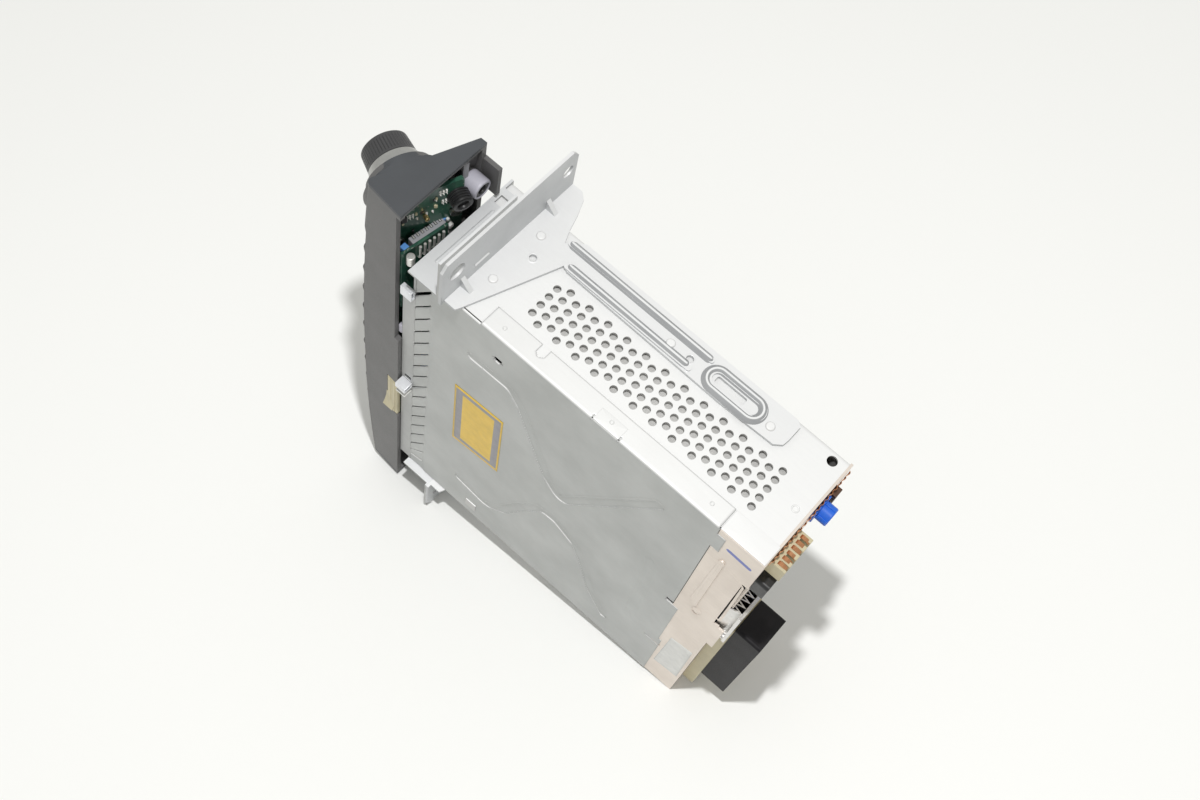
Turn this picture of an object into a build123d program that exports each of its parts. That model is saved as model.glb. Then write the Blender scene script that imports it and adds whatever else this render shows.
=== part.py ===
from build123d import *
import os
from math import atan2, cos, degrees, hypot, pi, radians, sin, sqrt

# Car cd radio with its two mounting brackets, in millimetres.
# Z runs along the front panel, +X is the labelled cover and -Y is the face.
# The origin is the middle of the footprint, at the lowest point.

# Slot-sized sheet body.
COVER_X = 29.8
TOP_X = -20.2
REAR_Y = 89.0
FRONT_Y = -68.0
Z_LOW = 28.5
Z_HIGH = 206.5
Z_MID = 117.5
SHEET = 1.0
COVER_T = 0.8
BEND_R = 1.8

# Front panel: a slanted face, bowed along its length.
PANEL_Z = 235.0
WALL = 2.2
FACE_TILT = radians(21.2)
FACE_EDGE = (29.4, -97.8)
PANEL_REAR_Y = -74.5
PANEL_OUTLINE = [FACE_EDGE, (-10.6, -82.3), (-11.6, -60.0), (33.3, -60.0)]
NEAR_ROUND = 2.0
FAR_ROUND = 3.0
BOW_R = 1383.0
BOW_Y = FACE_EDGE[1] + BOW_R
BOW_ARC = 11.0
NORMAL = (-sin(FACE_TILT), -cos(FACE_TILT), 0)
FACE = Plane(origin=(FACE_EDGE[0], FACE_EDGE[1], 0), x_dir=(0, 0, 1), z_dir=NORMAL)

# Controls on the face, as (z, distance from the face's lower edge in the car).
KNOB = (222.5, 16.5)
COLLAR_R = 12.5
COLLAR_TOP = -0.2
RING_R = (10.5, 9.4)
RING_LOW = 0.1
RING_HIGH = 4.6
CAP_R = (9.3, 8.8)
CAP_HIGH = 12.8
KNURLS = 30
KNURL_R = 0.45
SHAFT_R = 3.0
SHAFT_BORE_R = 3.05
WINDOW = (117.5, 24.0, 95.0, 14.0)
PRESET_U = 9.0
PRESET_Z = [68.0 + 20.0 * i for i in range(6)]
PRESET_SIZE = (15.0, 7.0)
SIDE_KEYS = [(54.0, 24.0), (181.0, 24.0)]
SIDE_SIZE = (14.0, 13.0)
EJECT_AT = (196.5, 35.0)
EJECT_SIZE = (12.0, 4.6)
KEY_GAP = 0.3
KEY_RISE = 1.0
KEY_TRAVEL = 1.0

# Board behind the face.
BOARD_FRONT = -10.8
BOARD_T = 1.6
BOARD_REAR = BOARD_FRONT - BOARD_T
BOARD_Z = (8.5, 226.5)
BOARD_U = (6.6, 35.4)
PANEL_POSTS = [(34.0, 10.5), (201.0, 10.5), (44.0, 33.0), (208.0, 32.5)]

# Main board, under the labelled cover.
MAIN_X = (17.0, 18.6)
BOARD_SCREWS = [(-47.5, 33.1), (-47.5, 201.9), (76.1, 33.1), (76.1, 201.9)]

# Disc path and mechanism.
DISC_X = -3.7
DISC_T = 1.2
SPINDLE = (0.0, Z_MID)
SLOT_HALF = 64.0
SLOT_X = (-6.6, -0.8)
DECK_X = 3.0
DECK_T = 1.0
DECK_Z = (46.0, 189.0)
DECK_Y = (-66.6, 76.0)
DECK_TOP_X = -14.0
ROLLER_AT = (0.1, -63.2)
ROLLER_R = 3.0
ROLLER_WAIST = 2.5
ARM_HINGE = (-10.2, 64.0)
GEAR_Z = 190.2
GEAR_W = 2.4
MODULE = 0.5
TEETH = (14, 28, 8)

# Mounting brackets.
BRACKET_LOW = 206.8
BRACKET_HIGH = 208.0
EAR_Y = (-53.4, -52.2)
EAR_X = 34.5
EAR_TIP = 231.0
NEAR_HOLE = (26.8, 221.0, 3.75)
FAR_HOLE = (-29.8, 221.0, 2.75)

# Vent pattern: staggered columns of round holes.
VENT_R = 1.5
VENT_COLUMNS = 24
VENT_Y = (-28.02, 4.369)
VENT_X = (0.96, 4.349)


# Inner wall seen through the vents, and the hole for the rear support.
LINER_X = (-4.0, 16.8)
LINER_Y = (-46.0, 78.0)
LINER_Z = (203.0, 203.6)
AERIAL_AT = (-2.9, 199.5)
AERIAL_R = 3.8
SUPPORT_AT = (4.8, 160.0)
SUPPORT_R = 2.5


def sink(z):
    """How far the bowed face lies behind its flat reference plane at z."""
    return (BOW_R - sqrt(BOW_R**2 - (z - Z_MID) ** 2)) * cos(FACE_TILT)


def slab(x, y, z, mode=Mode.ADD):
    """A block between two bounds on each axis."""
    with BuildSketch(Plane.XY.offset(z[0])) as base:
        with Locations(((x[0] + x[1]) / 2, (y[0] + y[1]) / 2)):
            Rectangle(x[1] - x[0], y[1] - y[0])
    extrude(base.sketch, amount=z[1] - z[0], mode=mode)


def prism(plane, outline, length, mode=Mode.ADD, rounds=0):
    """A closed outline extruded from its plane."""
    with BuildSketch(plane) as base:
        with BuildLine():
            Polyline(*outline, close=True)
        make_face()
        if rounds:
            fillet(base.vertices(), rounds)
    extrude(base.sketch, amount=length, mode=mode)


def round_bar(plane, spots, radius, length, mode=Mode.ADD, top=None):
    """Round bars or holes at each spot, tapered when a top radius is given."""
    with BuildSketch(plane) as base:
        with Locations(*spots):
            Circle(radius)
    taper = 0 if top is None else degrees(atan2(radius - top, abs(length)))
    extrude(base.sketch, amount=length, taper=taper, mode=mode)


def pad(plane, spots, size, length, mode=Mode.ADD, rounds=0.8):
    """Rounded rectangular pads or holes at each spot."""
    with BuildSketch(plane) as base:
        with Locations(*spots):
            RectangleRounded(size[0], size[1], rounds)
    extrude(base.sketch, amount=length, mode=mode)


def rib(plane, path, width, height, mode=Mode.ADD, corner=0):
    """A raised bead with round ends that follows an open path."""
    with BuildSketch(plane) as base:
        with BuildLine():
            if corner:
                FilletPolyline(*path, radius=corner)
            else:
                Polyline(*path)
            offset(amount=width / 2, side=Side.BOTH)
        make_face()
    extrude(base.sketch, amount=height, mode=mode)


def bowed(outline, inset=0.0, mode=Mode.ADD):
    """A panel section swept along the gentle bow of the face."""
    half = radians(BOW_ARC / 2)
    start = Plane(origin=(0, BOW_Y, Z_MID), x_dir=(1, 0, 0), z_dir=(0, -sin(half), cos(half)))
    with BuildSketch(start) as section:
        with BuildLine():
            Polyline(*[(x, y - BOW_Y) for x, y in outline], close=True)
        make_face()
        near = section.vertices().sort_by_distance((FACE_EDGE[0], FACE_EDGE[1] - BOW_Y))[0]
        far = section.vertices().sort_by_distance((outline[1][0], outline[1][1] - BOW_Y))[0]
        fillet(near, NEAR_ROUND)
        fillet(far, FAR_ROUND)
        if inset:
            offset(amount=-inset)
    axis = Axis((0, BOW_Y, Z_MID), (-1, 0, 0))
    revolve(section.sketch, axis=axis, revolution_arc=BOW_ARC, mode=mode)


def wheel(plane, teeth, phase, bore, width, mode=Mode.ADD):
    """A small spur gear with its bore; phase turns the first tooth, in radians."""
    pitch_r = MODULE * teeth / 2
    step = 2 * pi / teeth
    marks = [(-0.27, -1.1), (-0.12, 0.7), (0.12, 0.7), (0.27, -1.1)]
    rim = []
    for tooth in range(teeth):
        for turn, rise in marks:
            angle = phase + (tooth + turn) * step
            radius = pitch_r + rise * MODULE
            rim.append((radius * cos(angle), radius * sin(angle)))
    with BuildSketch(plane) as base:
        with BuildLine():
            Polyline(*rim, close=True)
        make_face()
        if bore:
            Circle(bore, mode=Mode.SUBTRACT)
    extrude(base.sketch, amount=width, mode=mode)


# Front panel moulding: a bowed shell, open at the back.
with BuildPart() as cavity:
    bowed(PANEL_OUTLINE, inset=WALL)
    slab((-60, 60), (-120, -40), (WALL, PANEL_Z - WALL), mode=Mode.INTERSECT)

with BuildPart() as fascia_shell:
    bowed(PANEL_OUTLINE)
    slab((-60, 60), (-120, PANEL_REAR_Y), (0, PANEL_Z), mode=Mode.INTERSECT)
    round_bar(FACE.offset(-7), [KNOB], COLLAR_R, COLLAR_TOP + 7)
    add(cavity.part, mode=Mode.SUBTRACT)
    pad(FACE.offset(-7), [WINDOW[:2]], WINDOW[2:], 10, Mode.SUBTRACT, 1.5)
    for z in PRESET_Z:
        size = [side + 2 * KEY_GAP for side in PRESET_SIZE]
        pad(FACE.offset(-7), [(z, PRESET_U)], size, 10, Mode.SUBTRACT)
    side_hole = [side + 2 * KEY_GAP for side in SIDE_SIZE]
    pad(FACE.offset(-7), SIDE_KEYS, side_hole, 10, Mode.SUBTRACT)
    eject_hole = [side + 2 * KEY_GAP for side in EJECT_SIZE]
    pad(FACE.offset(-9), [EJECT_AT], eject_hole, 10, Mode.SUBTRACT)
    slot_z = (Z_MID - SLOT_HALF, Z_MID + SLOT_HALF)
    slab(SLOT_X, (-110, -76), slot_z, mode=Mode.SUBTRACT)
    # Posts that carry the board, and the flap's two hinge eyes.
    round_bar(FACE.offset(BOARD_FRONT), PANEL_POSTS, 2.2, 7.4)
    round_bar(FACE.offset(-12), [KNOB], 3.7, 16, Mode.SUBTRACT)
    for low in (49.0, 182.5):
        slab((-9.2, -6.6), (-79.8, -75.8), (low, low + 3.5))
    round_bar(Plane.XY.offset(48), [(-7.6, -77.6)], 0.75, 139, Mode.SUBTRACT)
    # Tab that hooks on the frame, guide post, and window for the release tab.
    slab((-11.4, -9.6), (-75.0, -67.2), (210.5, 226.5))
    slab((-11.4, -9.6), (-75.0, -67.2), (8.5, 24.5))
    for z in (218.1, Z_MID * 2 - 218.1):
        round_bar(Plane.XZ.offset(76.4), [(-4.2, z)], 3.9, 2.2)
    slab((27.0, 35.0), (-81.0, -74.0), (70.5, 102.5), mode=Mode.SUBTRACT)
    slab((27.0, 36.0), (-76.6, -74.0), (143.0, 232.0), mode=Mode.SUBTRACT)

with BuildPart() as latch_tab:
    slab((29.4, 31.4), (-80.7, -75.0), (70.8, 102.2))
    slab((31.4, 31.9), (-80.0, -78.8), (72.0, 101.0))
    slab((31.4, 31.9), (-77.4, -76.2), (72.0, 101.0))

# Window over the display, flush with the bow, with a step behind the panel.
with BuildPart() as display_window:
    bowed(PANEL_OUTLINE)
    pad(FACE.offset(-6), [WINDOW[:2]], [WINDOW[2] - 0.3, WINDOW[3] - 0.3], 8, Mode.INTERSECT, 1.4)
    slab((-60, 60), (-120, -60), (30, 205), mode=Mode.INTERSECT)
    back = [WINDOW[2] + 4, WINDOW[3] + 3, 1.2]
    with BuildPart(mode=Mode.PRIVATE) as trim:
        pad(FACE.offset(-12), [WINDOW[:2]], [WINDOW[2] + 1, WINDOW[3] + 1], 8.6)
    add(trim.part, mode=Mode.SUBTRACT)

with BuildPart() as display_module:
    pad(FACE.offset(BOARD_FRONT), [WINDOW[:2]], (WINDOW[2] + 3, WINDOW[3] + 1), 4.4, rounds=1.0)
    pad(FACE.offset(BOARD_FRONT + 4.4), [WINDOW[:2]], (WINDOW[2] - 4, WINDOW[3] - 2), 1.2)


def key(spot, size):
    """One push key: bowed cap, retaining flange and stem."""
    z, u = spot
    base = -sink(z)
    pad(FACE.offset(base - 4.4), [spot], size, 4.4 + KEY_RISE + 0.6, rounds=0.6)
    lifted = [(x + NORMAL[0] * KEY_RISE, y + NORMAL[1] * KEY_RISE) for x, y in PANEL_OUTLINE]
    bowed(lifted, mode=Mode.INTERSECT)
    pad(FACE.offset(base - 4.9), [spot], (size[0] + 1.6, size[1] + 1.2), 1.0, rounds=0.6)
    round_bar(FACE.offset(BOARD_FRONT + 1.15), [spot], 1.4, base - 4.9 - BOARD_FRONT - 1.15)


keys = {}
for number, z in enumerate(PRESET_Z, 1):
    with BuildPart() as preset:
        key((z, PRESET_U), PRESET_SIZE)
    keys[f"preset_key_{number}"] = preset
for number, spot in enumerate(SIDE_KEYS, 1):
    with BuildPart() as side_key:
        key(spot, SIDE_SIZE)
    keys[f"side_key_{number}"] = side_key
with BuildPart() as eject_key:
    key(EJECT_AT, EJECT_SIZE)

# Flap that keeps dust out of the disc slot, turning on its own pin.
with BuildPart() as slot_flap:
    slab((-7.6, -0.3), (-78.1, -77.1), (53.2, 181.8))
    round_bar(Plane.XY.offset(50.2), [(-7.6, -77.6)], 0.7, 134.6)

# Knob: knurled cap on its encoder stem, and a bright ring round its foot.
with BuildPart() as volume_knob:
    round_bar(FACE.offset(RING_HIGH), [KNOB], CAP_R[0], CAP_HIGH - RING_HIGH, top=CAP_R[1])
    with BuildSketch(FACE.offset(RING_HIGH)) as grooves:
        with Locations(KNOB):
            with PolarLocations(CAP_R[0] + 0.1, KNURLS):
                Circle(KNURL_R)
    extrude(grooves.sketch, amount=CAP_HIGH - RING_HIGH - 1.2, mode=Mode.SUBTRACT)
    round_bar(FACE.offset(CAP_HIGH - 0.5), [KNOB], 7.4, 1, Mode.SUBTRACT)
    round_bar(FACE.offset(BOARD_FRONT + 1.0), [KNOB], SHAFT_R, RING_HIGH - BOARD_FRONT - 1.0)

with BuildPart() as volume_ring:
    round_bar(FACE.offset(RING_LOW), [KNOB], RING_R[0], RING_HIGH - RING_LOW, top=RING_R[1])
    round_bar(FACE.offset(RING_LOW), [KNOB], SHAFT_R, 9, Mode.SUBTRACT)

with BuildPart() as rotary_encoder:
    pad(FACE.offset(BOARD_FRONT), [KNOB], (11.0, 11.0), 4.2, rounds=1.0)
    round_bar(FACE.offset(BOARD_FRONT + 4.2), [KNOB], 3.4, 3.4)
    round_bar(FACE.offset(BOARD_FRONT + 1.0), [KNOB], SHAFT_BORE_R, 10, Mode.SUBTRACT)

# Board behind the face with what the open end shows on it.
with BuildPart() as fascia_board:
    centre = (sum(BOARD_Z) / 2, sum(BOARD_U) / 2)
    size = (BOARD_Z[1] - BOARD_Z[0], BOARD_U[1] - BOARD_U[0])
    pad(FACE.offset(BOARD_REAR), [centre], size, BOARD_T, rounds=1.0)
    round_bar(FACE.offset(BOARD_REAR), PANEL_POSTS, 1.1, BOARD_T, Mode.SUBTRACT)
    pad(FACE.offset(BOARD_REAR), [(216.0, 30.0), (19.0, 30.0)], (4.6, 3.0), 4, Mode.SUBTRACT)

with BuildPart() as key_mat:
    centre = (Z_MID, PRESET_U)
    pad(FACE.offset(BOARD_FRONT), [centre], (121.0, 4.2), 0.8)
    round_bar(FACE.offset(BOARD_FRONT), [(z, PRESET_U) for z in PRESET_Z], 1.8, 0.8, Mode.SUBTRACT)

with BuildPart() as board_connectors:
    pad(FACE.offset(BOARD_REAR), [(204.3, 20.4)], (4.4, 12.5), -4.5, rounds=0.4)
    with BuildSketch(FACE.offset(BOARD_REAR - 2.0)) as comb:
        with Locations((207.0, 20.4)):
            with GridLocations(1, 1.8, 1, 6):
                Rectangle(2.4, 1.0)
    extrude(comb.sketch, amount=-2.5, mode=Mode.SUBTRACT)
    pad(FACE.offset(BOARD_REAR), [(118.0, 16.0)], (24.0, 5.0), -3.6, rounds=0.4)
    with BuildSketch(FACE.offset(BOARD_REAR)) as feet:
        with Locations((193.6, 22.8)):
            with GridLocations(1, 1.7, 1, 6):
                Rectangle(1.0, 0.9)
    extrude(feet.sketch, amount=-3.2)

with BuildPart() as flat_cable:
    path = [(20.3, -76.4), (20.9, -73.0), (20.7, -66.0), (20.3, -60.2)]
    with BuildSketch(Plane.XY.offset(108)) as section:
        with BuildLine() as line:
            Spline(*path)
        trace(line.line, 0.3)
    extrude(section.sketch, amount=20)

with BuildPart() as guide_bushes:
    for z in (218.1, Z_MID * 2 - 218.1):
        round_bar(Plane.XZ.offset(76.4), [(-4.2, z)], 4.3, -7.4)
        round_bar(Plane.XZ.offset(76.4), [(-4.2, z)], 3.2, -7.4, Mode.SUBTRACT)

with BuildPart() as rubber_bush:
    round_bar(FACE.offset(BOARD_REAR), [(219.5, 26.0)], 3.3, -6.0, top=2.9)
    round_bar(FACE.offset(BOARD_REAR), [(219.5, 26.0)], 1.4, -6.0, Mode.SUBTRACT)

with BuildPart() as small_screws:
    round_bar(FACE.offset(BOARD_REAR), PANEL_POSTS, 2.4, -1.4)
    round_bar(FACE.offset(BOARD_REAR), PANEL_POSTS, 1.1, BOARD_T)
    round_bar(Plane.YZ.offset(MAIN_X[1]), BOARD_SCREWS, 2.6, 1.6)
    round_bar(Plane.YZ.offset(MAIN_X[1]), BOARD_SCREWS, 1.15, -3.4)

# Sheet body: one folded wrap with vents, marks and lugs.
with BuildPart() as chassis_tray:
    with BuildSketch(Plane.XZ.offset(-FRONT_Y)) as wrap:
        with BuildLine():
            Polyline(
                (COVER_X - 0.9, Z_LOW), (TOP_X, Z_LOW), (TOP_X, Z_HIGH), (COVER_X - 0.9, Z_HIGH),
                (COVER_X - 0.9, Z_HIGH - SHEET), (TOP_X + SHEET, Z_HIGH - SHEET),
                (TOP_X + SHEET, Z_LOW + SHEET), (COVER_X - 0.9, Z_LOW + SHEET), close=True,
            )
        make_face()
        for x, radius in ((TOP_X, BEND_R), (TOP_X + SHEET, BEND_R - SHEET)):
            for z in (Z_LOW, Z_HIGH):
                near_z = z if x == TOP_X else z + (SHEET if z == Z_LOW else -SHEET)
                fillet(wrap.vertices().sort_by_distance((x, near_z))[0], radius)
    extrude(wrap.sketch, amount=-(REAR_Y - SHEET - FRONT_Y))
    vents = []
    for column in range(VENT_COLUMNS):
        odd = column % 2
        for row in range(5 if odd else 4):
            x = VENT_X[0] + VENT_X[1] * (row - 0.5 * odd)
            vents.append((x, VENT_Y[0] + VENT_Y[1] * column))
    round_bar(Plane.XY.offset(Z_HIGH + 1), vents, VENT_R, -3, Mode.SUBTRACT)
    round_bar(Plane.XY.offset(Z_HIGH + 1), [(-16.1, 82.7)], 2.0, -3, Mode.SUBTRACT)
    low_vents = [(x, y) for x, y in vents if y > 20]
    round_bar(Plane.XY.offset(Z_LOW - 1), low_vents[::2], VENT_R, 3, Mode.SUBTRACT)
    # Inner wall behind the vents, on a folded edge.
    slab(LINER_X, LINER_Y, LINER_Z)
    slab((LINER_X[0], LINER_X[0] + 0.8), LINER_Y, (LINER_Z[0], Z_HIGH - SHEET))
    # Lugs under the main board.
    for lug in ((-52.0, -43.0), (74.2, 78.0)):
        slab((15.9, 16.9), lug, (Z_HIGH - 7.5, Z_HIGH - SHEET))
        slab((15.9, 16.9), lug, (Z_LOW + SHEET, Z_LOW + 7.5))
    round_bar(Plane.YZ.offset(15), BOARD_SCREWS, 1.2, 3, Mode.SUBTRACT)

# Labelled cover with its crossed bead, spring fingers and folded edges.
BEAD_UPPER = [(-42, 177.5), (-21, 178.5), (-14.4, 169.8), (-2, 142.1), (3.5, 130.9),
              (11, 122.5), (30.0, 156.0), (48.8, 189.5)]
BEAD_LOWER = [(-41.5, 57.2), (-23, 53.5), (-14.0, 63.0), (-5.0, 84.0), (3.4, 98.7),
              (11.4, 99.9), (23.4, 92.7), (31.4, 76.5), (37, 60.2), (47.8, 44.2)]
BEAD_SHORT = [(56, 72.5), (56, 124.5), (54, 138.5)]
FLANGE_Y = (-42.0, 69.0)
with BuildPart() as label_cover:
    slab((COVER_X - COVER_T, COVER_X), (FRONT_Y, 69.8), (Z_LOW, Z_HIGH))
    for low, high in ((Z_HIGH, Z_HIGH + COVER_T), (Z_LOW - COVER_T, Z_LOW)):
        slab((20.8, COVER_X), FLANGE_Y, (low, high))
        for y in (-39.0, 13.2, 61.0):
            slab((20.0, 22.0), (y, y + 2.4), (low - 1, high + 1), mode=Mode.SUBTRACT)
    for path in (BEAD_UPPER, BEAD_LOWER, BEAD_SHORT):
        rib(Plane.YZ.offset(COVER_X), path, 5.0, 0.8, corner=4.0)
        rib(Plane.YZ.offset(COVER_X - COVER_T), path, 3.4, 0.7, Mode.SUBTRACT, corner=4.0)
    slits = [(FRONT_Y + 3.6, 188.6 - 10.07 * i) for i in range(17)]
    with BuildSketch(Plane.YZ.offset(COVER_X + 1)) as cuts:
        with Locations(*slits):
            Rectangle(7.4, 1.3)
    extrude(cuts.sketch, amount=-3, mode=Mode.SUBTRACT)

# Zinc rear plate: folded over the cover side, cut for the connectors.
with BuildPart() as rear_plate:
    slab((TOP_X, COVER_X), (REAR_Y - SHEET, REAR_Y), (Z_LOW, Z_HIGH))
    slab((COVER_X - COVER_T, COVER_X), (70.0, REAR_Y), (Z_LOW, Z_HIGH))
    slab((COVER_X - 2, COVER_X + 1), (86.6, 90.0), (132.5, 181.5), mode=Mode.SUBTRACT)
    slab((COVER_X - 0.8, COVER_X), (REAR_Y, REAR_Y + 2.8), (109.5, 131.5))
    rib(Plane.YZ.offset(COVER_X), [(76.5, 185.5), (76.5, 135.5)], 2.4, 0.6)
    round_bar(Plane.YZ.offset(COVER_X), [(78.9, 131.1)], 2.2, 0.9, top=1.0)
    slab((25, 32), (69.0, 74.7), (66.5, 67.5), mode=Mode.SUBTRACT)
    slab((6.0, 20.6), (84, 92), (53.0, 117.0), mode=Mode.SUBTRACT)
    slab((-12.3, -8.1), (84, 92), (190.9, 203.1), mode=Mode.SUBTRACT)
    round_bar(Plane.XZ.offset(-92), [AERIAL_AT], AERIAL_R + 0.1, 8, Mode.SUBTRACT)
    slab((17.4, 28.9), (84, 92), (123.2, 152.8), mode=Mode.SUBTRACT)
    slab((9.2, 25.4), (84, 92), (193.8, 203.2), mode=Mode.SUBTRACT)
    round_bar(Plane.XZ.offset(-92), [SUPPORT_AT], SUPPORT_R, 8, Mode.SUBTRACT)

# Front frame: a window plate with folded side strips and the outer ear layer.
STRIP_OUTLINE = [(33.1, -69.0), (33.1, -53.4), (-19.0, -53.4), (-21.2, -56.0), (-21.2, -58.0),
                 (-18.5, -60.8), (-15.7, -61.6), (-15.7, -69.0)]
with BuildPart() as front_frame:
    slab((TOP_X, COVER_X), (-69.0, -68.0), (Z_LOW - 1.5, Z_HIGH + 1.5))
    slab((-9.5, 1.6), (-70, -67), (47.0, 188.0), mode=Mode.SUBTRACT)
    slab((5.0, 25.5), (-70, -67), (44.0, 191.0), mode=Mode.SUBTRACT)
    for low in (Z_HIGH + 0.5, Z_LOW - 1.5):
        prism(Plane.XY.offset(low), STRIP_OUTLINE, 1.0)
        slab((-12.7, -8.6), (-67.0, -63.0), (low - 1, low + 2), mode=Mode.SUBTRACT)
    for z in ((Z_HIGH + 0.5, 233.5), (2 * Z_MID - 233.5, Z_LOW - 0.5)):
        slab((-3.2, 34.4), (-54.4, -53.4), z)
    slab((COVER_X - SHEET, COVER_X), (-74.2, -69.0), (29.5, 183.5))
    slab((COVER_X - 2, COVER_X + 1), (-72.6, -69.0), (110.6, 114.2), mode=Mode.SUBTRACT)
    for z in (NEAR_HOLE[1], 2 * Z_MID - NEAR_HOLE[1]):
        round_bar(Plane.XZ.offset(50), [(NEAR_HOLE[0], z)], NEAR_HOLE[2], 10, Mode.SUBTRACT)

# Side bracket: mounting ear, long arm, beads and lanced oval.
BRACKET_OUTLINE = [
    (32.6, EAR_Y[0]), (32.6, -47.2), (30.9, -46.4), (-7.0, -32.1), (-5.9, -30.0), (-5.0, 40.0),
    (-5.9, 64.0), (-8.1, 66.7), (-11.0, 67.1), (-17.5, 67.1), (-19.2, 65.0), (-19.2, -32.0),
    (-14.0, -37.9), (-19.3, -40.2), (-26.0, -42.3), (-32.2, -44.9), (-EAR_X, -47.5),
    (-EAR_X, EAR_Y[0]),
]
RIVETS = [(-10.1, -45.8), (14.6, -46.1), (-10.4, 14.5), (-10.4, 59.3)]
with BuildPart() as upper_bracket:
    prism(Plane.XY.offset(BRACKET_LOW), BRACKET_OUTLINE, BRACKET_HIGH - BRACKET_LOW)
    ear = [(-EAR_X, BRACKET_LOW), (EAR_X, BRACKET_LOW), (EAR_X, EAR_TIP - 3),
           (EAR_X - 2.5, EAR_TIP), (-EAR_X + 3, EAR_TIP), (-EAR_X, EAR_TIP - 4)]
    prism(Plane.XZ.offset(-EAR_Y[0]), ear, EAR_Y[0] - EAR_Y[1])
    for x in (23.7, -20.5):
        gusset = [(EAR_Y[1], BRACKET_HIGH), (EAR_Y[1] + 4.5, BRACKET_HIGH), (EAR_Y[1], BRACKET_HIGH + 5)]
        prism(Plane.YZ.offset(x - 1), gusset, 2.0)
    for hole in (NEAR_HOLE, FAR_HOLE):
        round_bar(Plane.XZ.offset(45), [hole[:2]], hole[2], 12, Mode.SUBTRACT)
    rib(Plane.XY.offset(BRACKET_HIGH), [(-7.2, -31.0), (-7.2, 25.0)], 2.2, 0.7)
    rib(Plane.XY.offset(BRACKET_HIGH), [(-15.2, -36.0), (-15.2, 29.0)], 2.2, 0.7)
    with BuildSketch(Plane.XY.offset(BRACKET_HIGH)) as oval:
        with Locations((-11.2, 43.5)):
            SlotOverall(25.0, 9.0, rotation=90)
            SlotOverall(21.0, 5.0, rotation=90, mode=Mode.SUBTRACT)
    extrude(oval.sketch, amount=0.7)
    pad(Plane.XY.offset(BRACKET_LOW - 1), [(-11.2, 41.0)], (3.0, 13.0), 4, Mode.SUBTRACT)
    round_bar(Plane.XY.offset(BRACKET_LOW - 1), RIVETS, 1.55, 4, Mode.SUBTRACT)
    spots = [(-10.5, 23.2), (-1.5, -41.9)]
    round_bar(Plane.XY.offset(BRACKET_LOW - 1), spots, 1.4, 4, Mode.SUBTRACT)

middle = Plane.XY.offset(Z_MID)
with BuildPart() as lower_bracket:
    add(mirror(upper_bracket.part, about=middle, mode=Mode.PRIVATE))

with BuildPart() as bracket_rivets:
    for spot in RIVETS:
        round_bar(Plane.XY.offset(Z_HIGH), [spot], 1.5, BRACKET_HIGH - Z_HIGH)
        round_bar(Plane.XY.offset(BRACKET_HIGH), [spot], 1.9, 0.6, top=1.4)
    mirror(about=middle)

# Folded clips on the frame's flange, each a small open box.
CLIP_OUT = 34.3
with BuildPart() as latch_clips:
    for top, depth, out in ((110.4, 3.4, CLIP_OUT), (190.0, 6.0, 32.0)):
        y = (-73.6, -68.2)
        slab((COVER_X, out), y, (top - 0.6, top))
        slab((out - 0.6, out), y, (top - depth, top))
        slab((COVER_X, out), y, (top - depth, top - depth + 0.6))
        slab((COVER_X, COVER_X + 0.6), y, (top - depth, top))

# Rear connectors, fins and amplifier.
with BuildPart() as connector_base:
    pad(Plane.XZ.offset(-REAR_Y), [(13.3, 76.0)], (18.4, 85.0), -5.6, rounds=1.0)
    for z in (58.0, 76.0, 94.0, 112.0):
        slab((6.2, 20.4), (80.0, REAR_Y), (z - 4, z + 4))

BLOCK_END = 106.95
with BuildPart() as main_connector:
    pad(Plane.XZ.offset(-94.6), [(13.3, 85.0)], (17.0, 69.0), -(BLOCK_END - 94.6), rounds=1.2)
    for z in (68.5, 101.5):
        pad(Plane.XZ.offset(-97.0), [(13.3, z)], (13.6, 29.6), -20, Mode.SUBTRACT, 0.8)

with BuildPart() as connector_pins:
    with BuildSketch(Plane.XZ.offset(-97.0)) as blades:
        with Locations((13.3, 68.5), (13.3, 101.5)):
            with GridLocations(6.4, 6.6, 2, 4):
                Rectangle(0.8, 2.2)
    extrude(blades.sketch, amount=-4.5)

with BuildPart() as aux_connector:
    slab((-12.2, -8.2), (82.0, 91.6), (191.0, 203.0))
    slab((-11.4, -9.0), (87.0, 92.0), (191.9, 202.1), mode=Mode.SUBTRACT)

with BuildPart() as aerial_socket:
    round_bar(Plane.XZ.offset(-80), [AERIAL_AT], AERIAL_R, -15.0)
    slab((-7.2, 1.4), (89.0, 90.4), (194.5, 204.0))
    round_bar(Plane.XZ.offset(-84), [AERIAL_AT], 2.8, -12, Mode.SUBTRACT)
    round_bar(Plane.XZ.offset(-84), [AERIAL_AT], 0.7, -8)

with BuildPart() as comb_connector:
    slab((9.3, 25.3), (80.0, 95.2), (194.0, 203.0))
    slab((10.4, 24.2), (83.0, 96.0), (195.2, 200.4), mode=Mode.SUBTRACT)
    for x in (11.6, 15.6, 19.6, 23.0):
        slab((x - 0.5, x + 1.2), (91.6, 96.0), (200.0, 204.0), mode=Mode.SUBTRACT)

with BuildPart() as bus_connector:
    pad(Plane.XZ.offset(-REAR_Y), [(24.7, 184.0)], (7.6, 11.0), -5.6, rounds=1.5)
    pad(Plane.XZ.offset(-90), [(24.7, 184.0)], (5.2, 8.6), -6.0, Mode.SUBTRACT, 0.8)

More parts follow.
